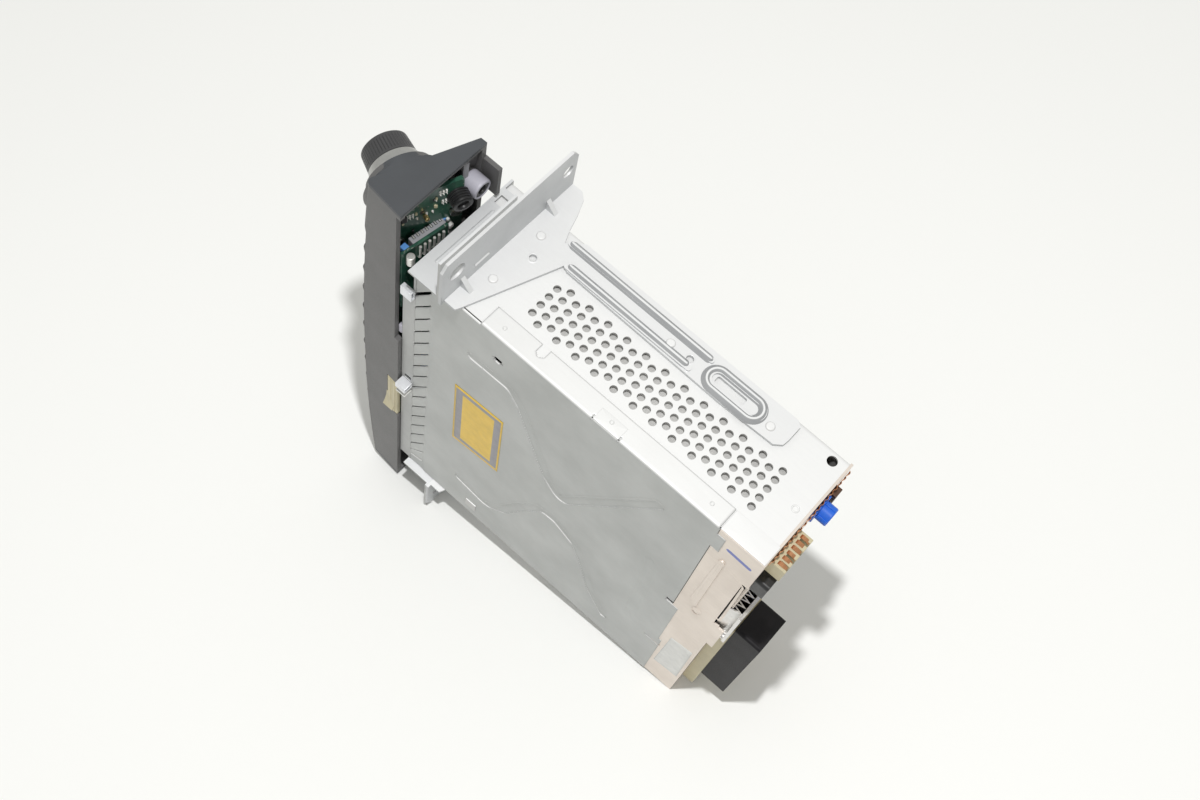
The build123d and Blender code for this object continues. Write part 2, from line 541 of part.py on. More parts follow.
# Folded fins that pass through the rear plate, open at the top, behind an outer plate.
FIN_PITCH = 2.6
FIN_Y = (87.1, 91.9)
FIN_END = 92.8
with BuildPart() as fin_pack:
    fold = []
    for i in range(9):
        fold.append((18.0 + i * FIN_PITCH / 2, FIN_Y[i % 2]))
    with BuildSketch(Plane.XY.offset(124.0)) as zigzag:
        with BuildLine() as line:
            Polyline(*fold)
        trace(line.line, 0.5)
    extrude(zigzag.sketch, amount=28.0)
    slab((16.4, 29.6), (FIN_END, FIN_END + 1.3), (122.0, 152.6))
    slab((16.4, 17.2), (REAR_Y, FIN_END + 1.3), (122.0, 152.6))
    slab((16.4, 28.9), (REAR_Y, FIN_END + 1.3), (122.0, 123.0))

with BuildPart() as power_amplifier:
    slab((19.6, 28.0), (79.4, 84.0), (126.0, 152.0))
    slab((18.2, 28.4), (84.0, 86.0), (124.5, 151.5))
    for i in range(9):
        z = 128.0 + i * 2.75
        slab((20.2, 21.0), (77.0, 79.4), (z - 0.4, z + 0.4))
        slab((MAIN_X[1], 21.0), (77.0, 77.8), (z - 0.4, z + 0.4))

# Main board with its parts, under the labelled cover.
with BuildPart() as main_board:
    pad(Plane.YZ.offset(MAIN_X[0]), [(9.0, Z_MID)], (138.0, 173.0), MAIN_X[1] - MAIN_X[0], rounds=1.5)
    round_bar(Plane.YZ.offset(15), BOARD_SCREWS, 1.2, 5, Mode.SUBTRACT)

with BuildPart() as board_parts:
    round_bar(Plane.YZ.offset(MAIN_X[1]), [(60.0, 175.0)], 7.5, 9.6)
    round_bar(Plane.YZ.offset(MAIN_X[1]), [(62.0, 100.0), (62.0, 84.0), (30.0, 60.0)], 5.0, 9.0)
    for y, z, size in ((-20.0, 150.0, 14.0), (5.0, 85.0, 20.0), (35.0, 130.0, 10.0)):
        slab((MAIN_X[1], MAIN_X[1] + 1.8), (y - size / 2, y + size / 2), (z - size / 2, z + size / 2))
    slab((MAIN_X[1], 22.4), (-60.0, -54.0), (105.0, 131.0))
    slab((19.9, 20.7), (-61.0, -56.0), (107.5, 128.5), mode=Mode.SUBTRACT)

# Where the gears stand and how they mesh.
GEAR_R = [MODULE * count / 2 for count in TEETH]
IDLER_AT = (ROLLER_AT[0] + 7.6, ROLLER_AT[1] + sqrt((GEAR_R[0] + GEAR_R[1]) ** 2 - 7.6**2))
MOTOR_AT = (10.2, IDLER_AT[1] + sqrt((GEAR_R[1] + GEAR_R[2]) ** 2 - (10.2 - IDLER_AT[0]) ** 2))
first = atan2(IDLER_AT[1] - ROLLER_AT[1], IDLER_AT[0] - ROLLER_AT[0])
second = atan2(MOTOR_AT[1] - IDLER_AT[1], MOTOR_AT[0] - IDLER_AT[0])
idler_phase = first + pi - pi / TEETH[1]
lag = (second - idler_phase) % (2 * pi / TEETH[1])
pinion_phase = second + pi + lag * GEAR_R[1] / GEAR_R[2] - pi / TEETH[2]

# Disc mechanism: folded deck plate.
with BuildPart() as deck_base:
    slab((DECK_X, DECK_X + DECK_T), DECK_Y, DECK_Z)
    for low in (DECK_Z[0], DECK_Z[1] - DECK_T):
        slab((DECK_TOP_X, DECK_X), DECK_Y, (low, low + DECK_T))
    for y in (-50.0, 50.0):
        for low in (DECK_Z[1], DECK_Z[0] - 11.0):
            slab((DECK_TOP_X, DECK_TOP_X + DECK_T), (y, y + 12), (low, low + 11.0))
    pad(Plane.YZ.offset(DECK_X - 1), [(40.0, Z_MID)], (62.0, 44.0), 4, Mode.SUBTRACT, 4.0)
    round_bar(Plane.YZ.offset(DECK_X - 1), [SPINDLE], 12.0, 4, Mode.SUBTRACT)
    slab((DECK_X - 1, DECK_X + 2), (-67.5, -60.0), (50.0, 185.0), mode=Mode.SUBTRACT)
    for y in (9.0, 71.0):
        for z in (101.0, 134.0):
            slab((DECK_X + DECK_T, 9.0), (y - 2.5, y) if y < 40 else (y, y + 2.5), (z - 3, z + 3))
    round_bar(Plane.XZ.offset(-6.0), [(6.5, 101.0), (6.5, 134.0)], 1.5, -68.0, Mode.SUBTRACT)
    round_bar(Plane.XY.offset(44), [ROLLER_AT], 1.05, 147, Mode.SUBTRACT)
    round_bar(Plane.XY.offset(44), [ARM_HINGE], 1.05, 147, Mode.SUBTRACT)
    # Cheek that carries the idler's pin and the loading motor.
    cheek_y = (IDLER_AT[1] - 2, IDLER_AT[1] + 14)
    slab((DECK_X + DECK_T, 12.5), cheek_y, (DECK_Z[1] - 1, DECK_Z[1]))
    round_bar(Plane.XY.offset(DECK_Z[1]), [IDLER_AT], 1.0, GEAR_Z + GEAR_W + 0.6 - DECK_Z[1])
    round_bar(Plane.XY.offset(DECK_Z[1] - 3), [MOTOR_AT], 1.05, 6, Mode.SUBTRACT)

with BuildPart() as deck_dampers:
    spots = [(y + 6.0, z) for y in (-50.0, 50.0) for z in (DECK_Z[0] - 6.0, DECK_Z[1] + 6.0)]
    round_bar(Plane.YZ.offset(TOP_X + SHEET), spots, 4.6, DECK_TOP_X - TOP_X - SHEET, top=3.4)

with BuildPart() as disc_guide:
    slab((-8.2, -6.2), (-66.4, -60.0), (DECK_Z[0] + DECK_T, DECK_Z[1] - DECK_T))
    for z in (56.0, 174.0):
        slab((-6.2, -5.4), (-66.0, -61.0), (z, z + 6.0))

with BuildPart() as feed_roller:
    with BuildSketch(Plane.XZ.offset(-ROLLER_AT[1])) as half:
        with BuildLine():
            Polyline((ROLLER_AT[0], 55.0), (ROLLER_AT[0] + ROLLER_R, 55.0),
                     (ROLLER_AT[0] + ROLLER_WAIST, Z_MID), (ROLLER_AT[0] + ROLLER_R, 180.0),
                     (ROLLER_AT[0], 180.0), close=True)
        make_face()
    revolve(half.sketch, axis=Axis((ROLLER_AT[0], ROLLER_AT[1], 0), (0, 0, 1)))
    round_bar(Plane.XY.offset(44.6), [ROLLER_AT], 1.0, GEAR_Z + GEAR_W - 44.6)

# Gear train beside the deck, from the roller to the loading motor.
with BuildPart() as roller_gear:
    wheel(Plane.XY.offset(GEAR_Z).move(Location((*ROLLER_AT, 0))), TEETH[0], first, 1.0, GEAR_W)
with BuildPart() as idler_gear:
    wheel(Plane.XY.offset(GEAR_Z).move(Location((*IDLER_AT, 0))), TEETH[1], idler_phase, 1.05, GEAR_W)
with BuildPart() as motor_pinion:
    wheel(Plane.XY.offset(GEAR_Z).move(Location((*MOTOR_AT, 0))), TEETH[2], pinion_phase, 0, GEAR_W)
    round_bar(Plane.XY.offset(DECK_Z[1] - 4), [MOTOR_AT], 1.0, GEAR_Z - DECK_Z[1] + 4)

# Spindle, clamp and laser.
with BuildPart() as spindle_motor:
    round_bar(Plane.YZ.offset(4.6), [SPINDLE], 11.0, 7.0)
    slab((4.0, 5.0), (-3.0, 3.0), (Z_MID - 14.0, Z_MID + 14.0))
    round_bar(Plane.YZ.offset(3.0), [SPINDLE], 1.05, 8.0, Mode.SUBTRACT)
with BuildPart() as turntable:
    round_bar(Plane.YZ.offset(DISC_X + DISC_T / 2), [SPINDLE], 13.0, 1.6)
    round_bar(Plane.YZ.offset(DISC_X + DISC_T / 2), [SPINDLE], 7.3, -2.4, top=6.2)
    round_bar(Plane.YZ.offset(-1.6), [SPINDLE], 1.0, 11.6)
with BuildPart() as clamp_disc:
    round_bar(Plane.YZ.offset(-8.9), [SPINDLE], 12.5, 2.6)
    round_bar(Plane.YZ.offset(-6.3), [SPINDLE], 8.2, -1.8, Mode.SUBTRACT)
    round_bar(Plane.YZ.offset(-8.9), [SPINDLE], 2.4, -2.8)
    round_bar(Plane.YZ.offset(-11.6), [SPINDLE], 4.0, -0.8)
with BuildPart() as clamp_arm:
    arm = [(-8.0, 111.5), (-8.0, 123.5), (60.0, 150.0), (66.0, 150.0), (66.0, 85.0), (60.0, 85.0)]
    prism(Plane.YZ.offset(-10.8), arm, 1.2, rounds=1.5)
    round_bar(Plane.YZ.offset(-12), [SPINDLE], 2.7, 4, Mode.SUBTRACT)
    round_bar(Plane.XY.offset(44.6), [ARM_HINGE], 1.0, 145.8)
with BuildPart() as laser_sled:
    slab((1.0, 9.6), (15.0, 33.0), (98.0, 137.0))
    slab((-1.4, 1.0), (20.0, 28.0), (113.5, 121.5))
    slab((5.4, 10.0), (20.0, 28.0), (137.0, 147.5))
    round_bar(Plane.YZ.offset(-1.4), [(24.0, Z_MID)], 2.4, -0.7, top=2.0)
    round_bar(Plane.XZ.offset(-5), [(6.5, 101.0), (6.5, 134.0)], 1.55, -40, Mode.SUBTRACT)
    round_bar(Plane.XZ.offset(-5), [(7.6, 143.5)], 1.6, -40, Mode.SUBTRACT)
with BuildPart() as guide_rods:
    round_bar(Plane.XZ.offset(-6.5), [(6.5, 101.0), (6.5, 134.0)], 1.5, -67.0)
with BuildPart() as lead_screw:
    round_bar(Plane.XZ.offset(-9.0), [(7.6, 143.5)], 1.5, -63.0)
    with BuildSketch(Plane.YZ.offset(7.6)) as thread:
        with Locations((40.0, 145.0)):
            with GridLocations(3.0, 1, 19, 1):
                Rectangle(1.0, 0.8)
    revolve(thread.sketch, axis=Axis((7.6, 0, 143.5), (0, 1, 0)), mode=Mode.SUBTRACT)
with BuildPart() as deck_motors:
    round_bar(Plane.XZ.offset(13.0), [(9.4, 143.5)], 5.2, -21.0)
    round_bar(Plane.XZ.offset(-1.0), [(7.6, 143.5)], 1.6, -12, Mode.SUBTRACT)
    round_bar(Plane.XY.offset(158), [MOTOR_AT], 5.8, DECK_Z[1] - 1 - 158)
    round_bar(Plane.XY.offset(DECK_Z[1] - 5), [MOTOR_AT], 1.05, 10, Mode.SUBTRACT)

pieces = {
    "fascia_shell": fascia_shell, "latch_tab": latch_tab, "display_window": display_window,
    "display_module": display_module, "eject_key": eject_key, "slot_flap": slot_flap,
    "volume_knob": volume_knob, "volume_ring": volume_ring, "rotary_encoder": rotary_encoder,
    "fascia_board": fascia_board, "key_mat": key_mat, "board_connectors": board_connectors,
    "flat_cable": flat_cable, "guide_bushes": guide_bushes, "rubber_bush": rubber_bush,
    "small_screws": small_screws, "chassis_tray": chassis_tray, "label_cover": label_cover,
    "rear_plate": rear_plate, "front_frame": front_frame, "upper_bracket": upper_bracket,
    "lower_bracket": lower_bracket, "bracket_rivets": bracket_rivets,
    "latch_clips": latch_clips, "connector_base": connector_base,
    "main_connector": main_connector, "connector_pins": connector_pins,
    "aux_connector": aux_connector, "aerial_socket": aerial_socket,
    "comb_connector": comb_connector, "bus_connector": bus_connector, "fin_pack": fin_pack,
    "power_amplifier": power_amplifier, "main_board": main_board, "board_parts": board_parts,
    "deck_base": deck_base, "deck_dampers": deck_dampers, "disc_guide": disc_guide,
    "feed_roller": feed_roller, "roller_gear": roller_gear, "idler_gear": idler_gear,
    "motor_pinion": motor_pinion, "deck_motors": deck_motors, "spindle_motor": spindle_motor,
    "turntable": turntable, "clamp_disc": clamp_disc, "clamp_arm": clamp_arm,
    "laser_sled": laser_sled, "guide_rods": guide_rods, "lead_screw": lead_screw,
}
pieces.update(keys)
for name, piece in pieces.items():
    piece.part.label = name
    export_step(piece.part, f"parts/{name}.step")
print(len(pieces), "pieces; gears at", ROLLER_AT, IDLER_AT, MOTOR_AT)
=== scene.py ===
"""Looks of a car cd radio that stands on one side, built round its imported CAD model.

The row frame is in metres: +Z runs along the front panel, -Y is the way the face looks and
+X is the labelled cover. Sizes in the classes are in millimetres and become metres only
where a mesh is made.
"""

import logging
import math
from dataclasses import dataclass, field
from enum import Enum
from typing import Callable, Sequence

import bmesh
import bpy
import numpy as np
from mathutils import Matrix, Vector


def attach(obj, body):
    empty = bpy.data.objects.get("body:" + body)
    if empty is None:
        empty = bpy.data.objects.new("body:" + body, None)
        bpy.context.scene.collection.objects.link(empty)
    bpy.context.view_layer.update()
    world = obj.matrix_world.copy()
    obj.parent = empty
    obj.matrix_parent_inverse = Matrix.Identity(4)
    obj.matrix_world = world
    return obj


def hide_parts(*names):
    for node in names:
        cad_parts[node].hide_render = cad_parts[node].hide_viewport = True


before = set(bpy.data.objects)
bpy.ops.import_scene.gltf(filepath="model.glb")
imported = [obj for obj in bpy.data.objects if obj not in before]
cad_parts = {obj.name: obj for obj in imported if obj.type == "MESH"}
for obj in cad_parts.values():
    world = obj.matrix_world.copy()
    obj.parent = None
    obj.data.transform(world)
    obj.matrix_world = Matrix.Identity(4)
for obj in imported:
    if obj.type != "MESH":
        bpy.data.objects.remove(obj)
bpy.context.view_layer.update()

logging.basicConfig(level=logging.INFO, format="%(message)s")
log = logging.getLogger("radio")

# Millimetres to metres, and the height halfway between the unit's two ends.
MM = 0.001
MIDDLE_Z = 117.5
Array = np.ndarray
Spot = tuple[float, float]
Colour = tuple[float, float, float]
Box = tuple[tuple[float, float, float], tuple[float, float, float]]


# Tools that make meshes.


def grid_mesh(name: str, points: Array, wrap_u: bool = False, wrap_v: bool = False,
              keep: Array | None = None, uv: bool = False) -> bpy.types.Object:
    """Turns a grid of points into a mesh object.

    Args:
        name: Name of the new object.
        points: Array (nu, nv, 3) in millimetres.
        wrap_u: Joins the last row to the first.
        wrap_v: Joins the last column to the first.
        keep: Optional boolean array of the cells that stay.
        uv: Adds a UV map that runs 0 to 1 both ways.

    Returns:
        The object, at the origin, with its place in its mesh.
    """
    nu, nv = points.shape[:2]
    rows = np.arange(nu if wrap_u else nu - 1)
    cols = np.arange(nv if wrap_v else nv - 1)
    i, j = np.meshgrid(rows, cols, indexing="ij")
    i2, j2 = (i + 1) % nu, (j + 1) % nv
    quads = np.stack([i * nv + j, i2 * nv + j, i2 * nv + j2, i * nv + j2], axis=-1)
    if keep is not None:
        quads = quads[keep]
    quads = quads.reshape(-1, 4)
    mesh = bpy.data.meshes.new(name)
    mesh.vertices.add(nu * nv)
    mesh.vertices.foreach_set("co", (points * MM).reshape(-1).astype(np.float32))
    mesh.loops.add(quads.size)
    mesh.loops.foreach_set("vertex_index", quads.reshape(-1).astype(np.int32))
    mesh.polygons.add(len(quads))
    mesh.polygons.foreach_set("loop_start", np.arange(0, quads.size, 4, dtype=np.int32))
    mesh.polygons.foreach_set("use_smooth", np.ones(len(quads), bool))
    mesh.update(calc_edges=True)
    if uv:
        layer = mesh.uv_layers.new(name="UVMap")
        flat = quads.reshape(-1)
        pairs = np.stack([(flat // nv) / (nu - 1), (flat % nv) / (nv - 1)], axis=-1)
        layer.data.foreach_set("uv", pairs.reshape(-1).astype(np.float32))
    mesh.validate()
    return link(name, mesh)


def link(name: str, mesh: bpy.types.Mesh) -> bpy.types.Object:
    """Puts a mesh in the scene as an object at the origin."""
    piece = bpy.data.objects.new(name, mesh)
    bpy.context.scene.collection.objects.link(piece)
    return piece


def join(name: str, pieces: Sequence[bpy.types.Object]) -> bpy.types.Object:
    """Joins mesh objects into one, keeping each one's material.

    Args:
        name: Name of the joined object.
        pieces: Objects to join; they are used up.

    Returns:
        The joined object.
    """
    bpy.ops.object.select_all(action="DESELECT")
    for piece in pieces:
        piece.select_set(True)
    bpy.context.view_layer.objects.active = pieces[0]
    if len(pieces) > 1:
        bpy.ops.object.join()
    pieces[0].name = name
    pieces[0].data.name = name
    return pieces[0]


def recalc(piece: bpy.types.Object, merge: float = 1e-6) -> bpy.types.Object:
    """Merges doubled points and turns all faces outwards."""
    bm = bmesh.new()
    bm.from_mesh(piece.data)
    bmesh.ops.remove_doubles(bm, verts=bm.verts, dist=merge)
    bmesh.ops.recalc_face_normals(bm, faces=bm.faces)
    bm.to_mesh(piece.data)
    bm.free()
    return piece


def apply(piece: bpy.types.Object) -> bpy.types.Object:
    """Applies every modifier of a piece."""
    bpy.context.view_layer.objects.active = piece
    for modifier in list(piece.modifiers):
        bpy.ops.object.modifier_apply(modifier=modifier.name)
    return piece


def even(piece: bpy.types.Object) -> bpy.types.Object:
    """Weights the normals by face area, so broad flat faces stay flat beside round edges."""
    weigh = piece.modifiers.new("normals", "WEIGHTED_NORMAL")
    weigh.keep_sharp = True
    return apply(piece)


def smooth(piece: bpy.types.Object, angle: float = 40.0) -> bpy.types.Object:
    """Shades a piece smooth except across edges sharper than the angle."""
    piece.data.polygons.foreach_set("use_smooth", np.ones(len(piece.data.polygons), bool))
    piece.data.set_sharp_from_angle(angle=math.radians(angle))
    return piece


def soften(node: str, width: float, name: str, angle: float = 35.0) -> bpy.types.Object:
    """Copies a CAD node, merges its loose triangles and rounds its edges.

    Args:
        node: CAD node that is copied.
        width: Edge rounding in millimetres.
        name: Name of the piece.
        angle: Edges sharper than this many degrees are rounded.

    Returns:
        The rounded piece.
    """
    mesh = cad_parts[node].data.copy()
    piece = link(name, mesh)
    bm = bmesh.new()
    bm.from_mesh(mesh)
    bmesh.ops.remove_doubles(bm, verts=bm.verts, dist=2e-6)
    bmesh.ops.dissolve_limit(bm, angle_limit=math.radians(1.0), verts=bm.verts, edges=bm.edges)
    bm.to_mesh(mesh)
    bm.free()
    edge = piece.modifiers.new("edge", "BEVEL")
    edge.width = width * MM
    edge.segments = 2
    edge.limit_method = "ANGLE"
    edge.angle_limit = math.radians(angle)
    edge.use_clamp_overlap = True
    edge.harden_normals = False
    apply(piece)
    return even(smooth(piece, 32.0))


def lathe(name: str, profile: Sequence[Spot], origin: Array, axis: Array,
          steps: int = 64) -> bpy.types.Object:
    """Turns a profile about an axis: point = origin + r * ring(t) + h * axis.

    Args:
        name: Name of the object.
        profile: Pairs (r, h) in millimetres from the inner end to the outer end.
        origin: Foot of the axis in millimetres.
        axis: Unit vector of the axis.
        steps: Divisions round the axis.

    Returns:
        The closed turned piece.
    """
    axis = np.asarray(axis, float)
    side = np.cross(axis, (0.0, 0.0, 1.0) if abs(axis[2]) < 0.9 else (1.0, 0.0, 0.0))
    side /= np.linalg.norm(side)
    other = np.cross(axis, side)
    rh = np.asarray(profile, float)
    turn = np.linspace(0, 2 * np.pi, steps, endpoint=False)
    ring = np.cos(turn)[:, None] * side + np.sin(turn)[:, None] * other
    points = np.asarray(origin) + rh[None, :, 0:1] * ring[:, None, :] + rh[None, :, 1:2] * axis
    piece = grid_mesh(name, points, wrap_u=True)
    return recalc(piece, 1e-7)


def rounded(profile: Sequence[Spot], radius: float, steps: int = 4,
            closed: bool = False) -> list[Spot]:
    """Rounds the corners of a polyline with short arcs.

    Args:
        profile: Corner points.
        radius: Corner radius in the same unit.
        steps: Points on each arc.
        closed: Treats the polyline as a loop.

    Returns:
        The rounded polyline.
    """
    pts = np.asarray(profile, float)
    count = len(pts)
    out: list[Spot] = []
    for k in range(count):
        if not closed and k in (0, count - 1):
            out.append(tuple(pts[k]))
            continue
        a, b, c = pts[k - 1], pts[k], pts[(k + 1) % count]
        u, v = a - b, c - b
        lu, lv = np.linalg.norm(u), np.linalg.norm(v)
        u, v = u / lu, v / lv
        half = math.acos(np.clip(u @ v, -1, 1)) / 2
        if half > math.radians(88):
            out.append(tuple(b))
            continue
        reach = min(radius / math.tan(half), lu * 0.48, lv * 0.48)
        p, q = b + u * reach, b + v * reach
        t = np.linspace(0, 1, steps + 1)[:, None]
        arc = (1 - t) ** 2 * p + 2 * t * (1 - t) * b + t**2 * q
        out.extend(tuple(point) for point in arc)
    return out


def brick(name: str, low: Sequence[float], high: Sequence[float], edge: float = 0.2,
          basis: Array | None = None) -> bpy.types.Object:
    """A moulded block between two corners with rounded edges.

    The block is a loft of one rounded rectangle through four levels, the first and last
    drawn in by the edge radius.

    Args:
        name: Name of the object.
        low: Lowest corner in millimetres, in the basis.
        high: Highest corner in millimetres, in the basis.
        edge: Edge radius in millimetres.
        basis: Optional 4x4 array that carries local points into the row frame.

    Returns:
        The closed block.
    """
    lo, hi = np.asarray(low, float), np.asarray(high, float)
    edge = min(edge, *(0.45 * (hi - lo)))
    corner = np.array([[lo[0], lo[1]], [hi[0], lo[1]], [hi[0], hi[1]], [lo[0], hi[1]]])
    middle = (lo[:2] + hi[:2]) / 2
    levels = [(0.0, lo[2]), (edge, lo[2]), (0.3 * edge, lo[2] + 0.3 * edge), (0.0, lo[2] + edge),
              (0.0, hi[2] - edge), (0.3 * edge, hi[2] - 0.3 * edge), (edge, hi[2]), (0.0, hi[2])]
    rings = []
    for k, (draw, level) in enumerate(levels):
        if k in (0, 7):
            loop = np.repeat(middle[None, :], 16, axis=0)
        else:
            shrunk = middle + (corner - middle) * (1 - 2 * draw / (hi[:2] - lo[:2]))
            loop = np.asarray(rounded([tuple(c) for c in shrunk], edge, 3, closed=True))
        rings.append(np.column_stack([loop, np.full(len(loop), level)]))
    points = np.stack(rings)
    if basis is not None:
        points = points @ basis[:3, :3].T + basis[:3, 3]
    piece = grid_mesh(name, points, wrap_v=True)
    recalc(piece, 1e-7)
    return even(smooth(piece, 35.0))


def unit(rows: Array) -> Array:
    """Every row of an array, brought to length 1."""
    return rows / np.linalg.norm(rows, axis=1)[:, None]


def strip(name: str, path: Array, width_axis: Array, width: float,
          thick: float) -> bpy.types.Object:
    """A flat band carried along a path: both faces and edges, closed at its ends.

    Args:
        name: Name of the object.
        path: Array (n, 3) of the band's middle line in millimetres.
        width_axis: Unit vector across the band.
        width: Band width in millimetres.
        thick: Band thickness in millimetres.

    Returns:
        The closed band.
    """
    path = np.asarray(path, float)
    across = np.asarray(width_axis, float)
    normal = unit(np.cross(unit(np.gradient(path, axis=0)), across))
    w, t = width / 2, thick / 2
    corners = [(-w, -t), (w, -t), (w, t), (-w, t)]
    rings = np.stack([path + across * a + normal * b for a, b in corners], axis=1)
    ends = [np.repeat(path[k][None, None, :], 4, axis=1) for k in (0, -1)]
    piece = grid_mesh(name, np.concatenate([ends[0], rings, ends[1]]), wrap_v=True)
    recalc(piece, 1e-7)
    return smooth(piece, 35.0)


def tube(name: str, path: Array, radius: float, sides: int = 10) -> bpy.types.Object:
    """A round wire carried along a path, closed at its ends.

    Args:
        name: Name of the object.
        path: Array (n, 3) in millimetres.
        radius: Wire radius in millimetres.
        sides: Divisions round the wire.

    Returns:
        The closed wire.
    """
    path = np.asarray(path, float)
    tangent = unit(np.gradient(path, axis=0))
    oblique = np.array([0.31, 0.57, 0.76])
    side = unit(np.cross(tangent, oblique))
    other = np.cross(tangent, side)
    turn = np.linspace(0, 2 * np.pi, sides, endpoint=False)
    ring = (path[:, None, :] + radius * (np.cos(turn)[None, :, None] * side[:, None, :]
                                         + np.sin(turn)[None, :, None] * other[:, None, :]))
    ends = [np.repeat(path[k][None, None, :], sides, axis=1) for k in (0, -1)]
    piece = grid_mesh(name, np.concatenate([ends[0], ring, ends[1]]), wrap_v=True)
    recalc(piece, 1e-7)
    return smooth(piece, 50.0)


# Materials, one class for each kind of finish.


class Graph:
    """A small helper that builds one node material."""

    def __init__(self, name: str) -> None:
        """Makes an empty material with a Principled shader and its output."""
        self.material = bpy.data.materials.new(name)
        self.material.use_nodes = True
        self.tree = self.material.node_tree
        self.tree.nodes.clear()
        self.out = self.tree.nodes.new("ShaderNodeOutputMaterial")
        self.shader = self.tree.nodes.new("ShaderNodeBsdfPrincipled")
        self.tree.links.new(self.shader.outputs[0], self.out.inputs[0])
        self.coord = self.tree.nodes.new("ShaderNodeTexCoord")

    def set(self, **values: float | tuple) -> None:
        """Writes constants straight on the shader's sockets, named with underscores."""
        for key, value in values.items():
            socket = self.shader.inputs[key.replace("_", " ").title().replace("Ior", "IOR")]
            socket.default_value = (*value, 1.0) if isinstance(value, tuple) else value

    def noise(self, scale: float, detail: float = 3.0, rough: float = 0.5,
              stretch: Sequence[float] = (1.0, 1.0, 1.0)) -> bpy.types.NodeSocket:
        """Noise on Object coordinates, in cycles per metre, stretched by axis."""
        mapping = self.tree.nodes.new("ShaderNodeMapping")
        mapping.inputs["Scale"].default_value = stretch
        self.tree.links.new(self.coord.outputs["Object"], mapping.inputs["Vector"])
        tex = self.tree.nodes.new("ShaderNodeTexNoise")
        tex.inputs["Scale"].default_value = scale
        tex.inputs["Detail"].default_value = detail
        tex.inputs["Roughness"].default_value = rough
        self.tree.links.new(mapping.outputs[0], tex.inputs["Vector"])
        return tex.outputs["Fac"]

    def cells(self, scale: float, stretch: Sequence[float] = (1.0, 1.0, 1.0)) -> bpy.types.NodeSocket:
        """Random flat cells, such as the spangle of zinc."""
        mapping = self.tree.nodes.new("ShaderNodeMapping")
        mapping.inputs["Scale"].default_value = stretch
        self.tree.links.new(self.coord.outputs["Object"], mapping.inputs["Vector"])
        tex = self.tree.nodes.new("ShaderNodeTexVoronoi")
        tex.inputs["Scale"].default_value = scale
        self.tree.links.new(mapping.outputs[0], tex.inputs["Vector"])
        return tex.outputs["Color"]

    def ramp(self, value: bpy.types.NodeSocket, low: float, high: float, start: float = 0.0,
             end: float = 1.0) -> bpy.types.NodeSocket:
        """Maps a value from start..end to low..high, clamped."""
        node = self.tree.nodes.new("ShaderNodeMapRange")
        node.inputs["From Min"].default_value = start
        node.inputs["From Max"].default_value = end
        node.inputs["To Min"].default_value = low
        node.inputs["To Max"].default_value = high
        self.tree.links.new(value, node.inputs["Value"])
        return node.outputs[0]

    def blend(self, value: bpy.types.NodeSocket, first: Colour | bpy.types.NodeSocket,
              second: Colour | bpy.types.NodeSocket) -> bpy.types.NodeSocket:
        """Mixes two colours by a value."""
        node = self.tree.nodes.new("ShaderNodeMix")
        node.data_type = "RGBA"
        self.tree.links.new(value, node.inputs[0])
        for item, socket in ((first, node.inputs[6]), (second, node.inputs[7])):
            if isinstance(item, bpy.types.NodeSocket):
                self.tree.links.new(item, socket)
            else:
                socket.default_value = (*item, 1.0)
        return node.outputs[2]

    def math(self, kind: str, first: bpy.types.NodeSocket | float,
             second: bpy.types.NodeSocket | float) -> bpy.types.NodeSocket:
        """One arithmetic step on two values."""
        node = self.tree.nodes.new("ShaderNodeMath")
        node.operation = kind
        for item, socket in ((first, node.inputs[0]), (second, node.inputs[1])):
            if isinstance(item, bpy.types.NodeSocket):
                self.tree.links.new(item, socket)
            else:
                socket.default_value = item
        return node.outputs[0]

    def axis(self, index: int) -> bpy.types.NodeSocket:
        """One Object coordinate, in metres."""
        node = self.tree.nodes.new("ShaderNodeSeparateXYZ")
        self.tree.links.new(self.coord.outputs["Object"], node.inputs[0])
        return node.outputs[index]

    def upright(self) -> bpy.types.NodeSocket:
        """How far a face looks along Z, from 0 to 1, whichever way."""
        node = self.tree.nodes.new("ShaderNodeSeparateXYZ")
        self.tree.links.new(self.coord.outputs["Normal"], node.inputs[0])
        return self.math("ABSOLUTE", node.outputs[2], 0.0)

    def above(self, level: float, low: bpy.types.NodeSocket,
              high: bpy.types.NodeSocket) -> bpy.types.NodeSocket:
        """One colour below a level of Z in millimetres and another above it.

        The level counts from the middle of the unit both ways, so both ends match.
        """
        away = self.math("ABSOLUTE", self.math("SUBTRACT", self.axis(2), MIDDLE_Z * MM), 0.0)
        edge = level - MIDDLE_Z
        share = self.ramp(away, 0.0, 1.0, (edge - 0.1) * MM, (edge + 0.1) * MM)
        return self.blend(share, low, high)

    def feed(self, value: bpy.types.NodeSocket, socket: str) -> None:
        """Connects a value to one of the shader's sockets."""
        self.tree.links.new(value, self.shader.inputs[socket])

    def bump(self, height: bpy.types.NodeSocket, distance: float, strength: float = 1.0) -> None:
        """Adds fine relief, with its height in metres."""
        node = self.tree.nodes.new("ShaderNodeBump")
        node.inputs["Strength"].default_value = strength
        node.inputs["Distance"].default_value = distance
        self.tree.links.new(height, node.inputs["Height"])
        self.tree.links.new(node.outputs[0], self.shader.inputs["Normal"])


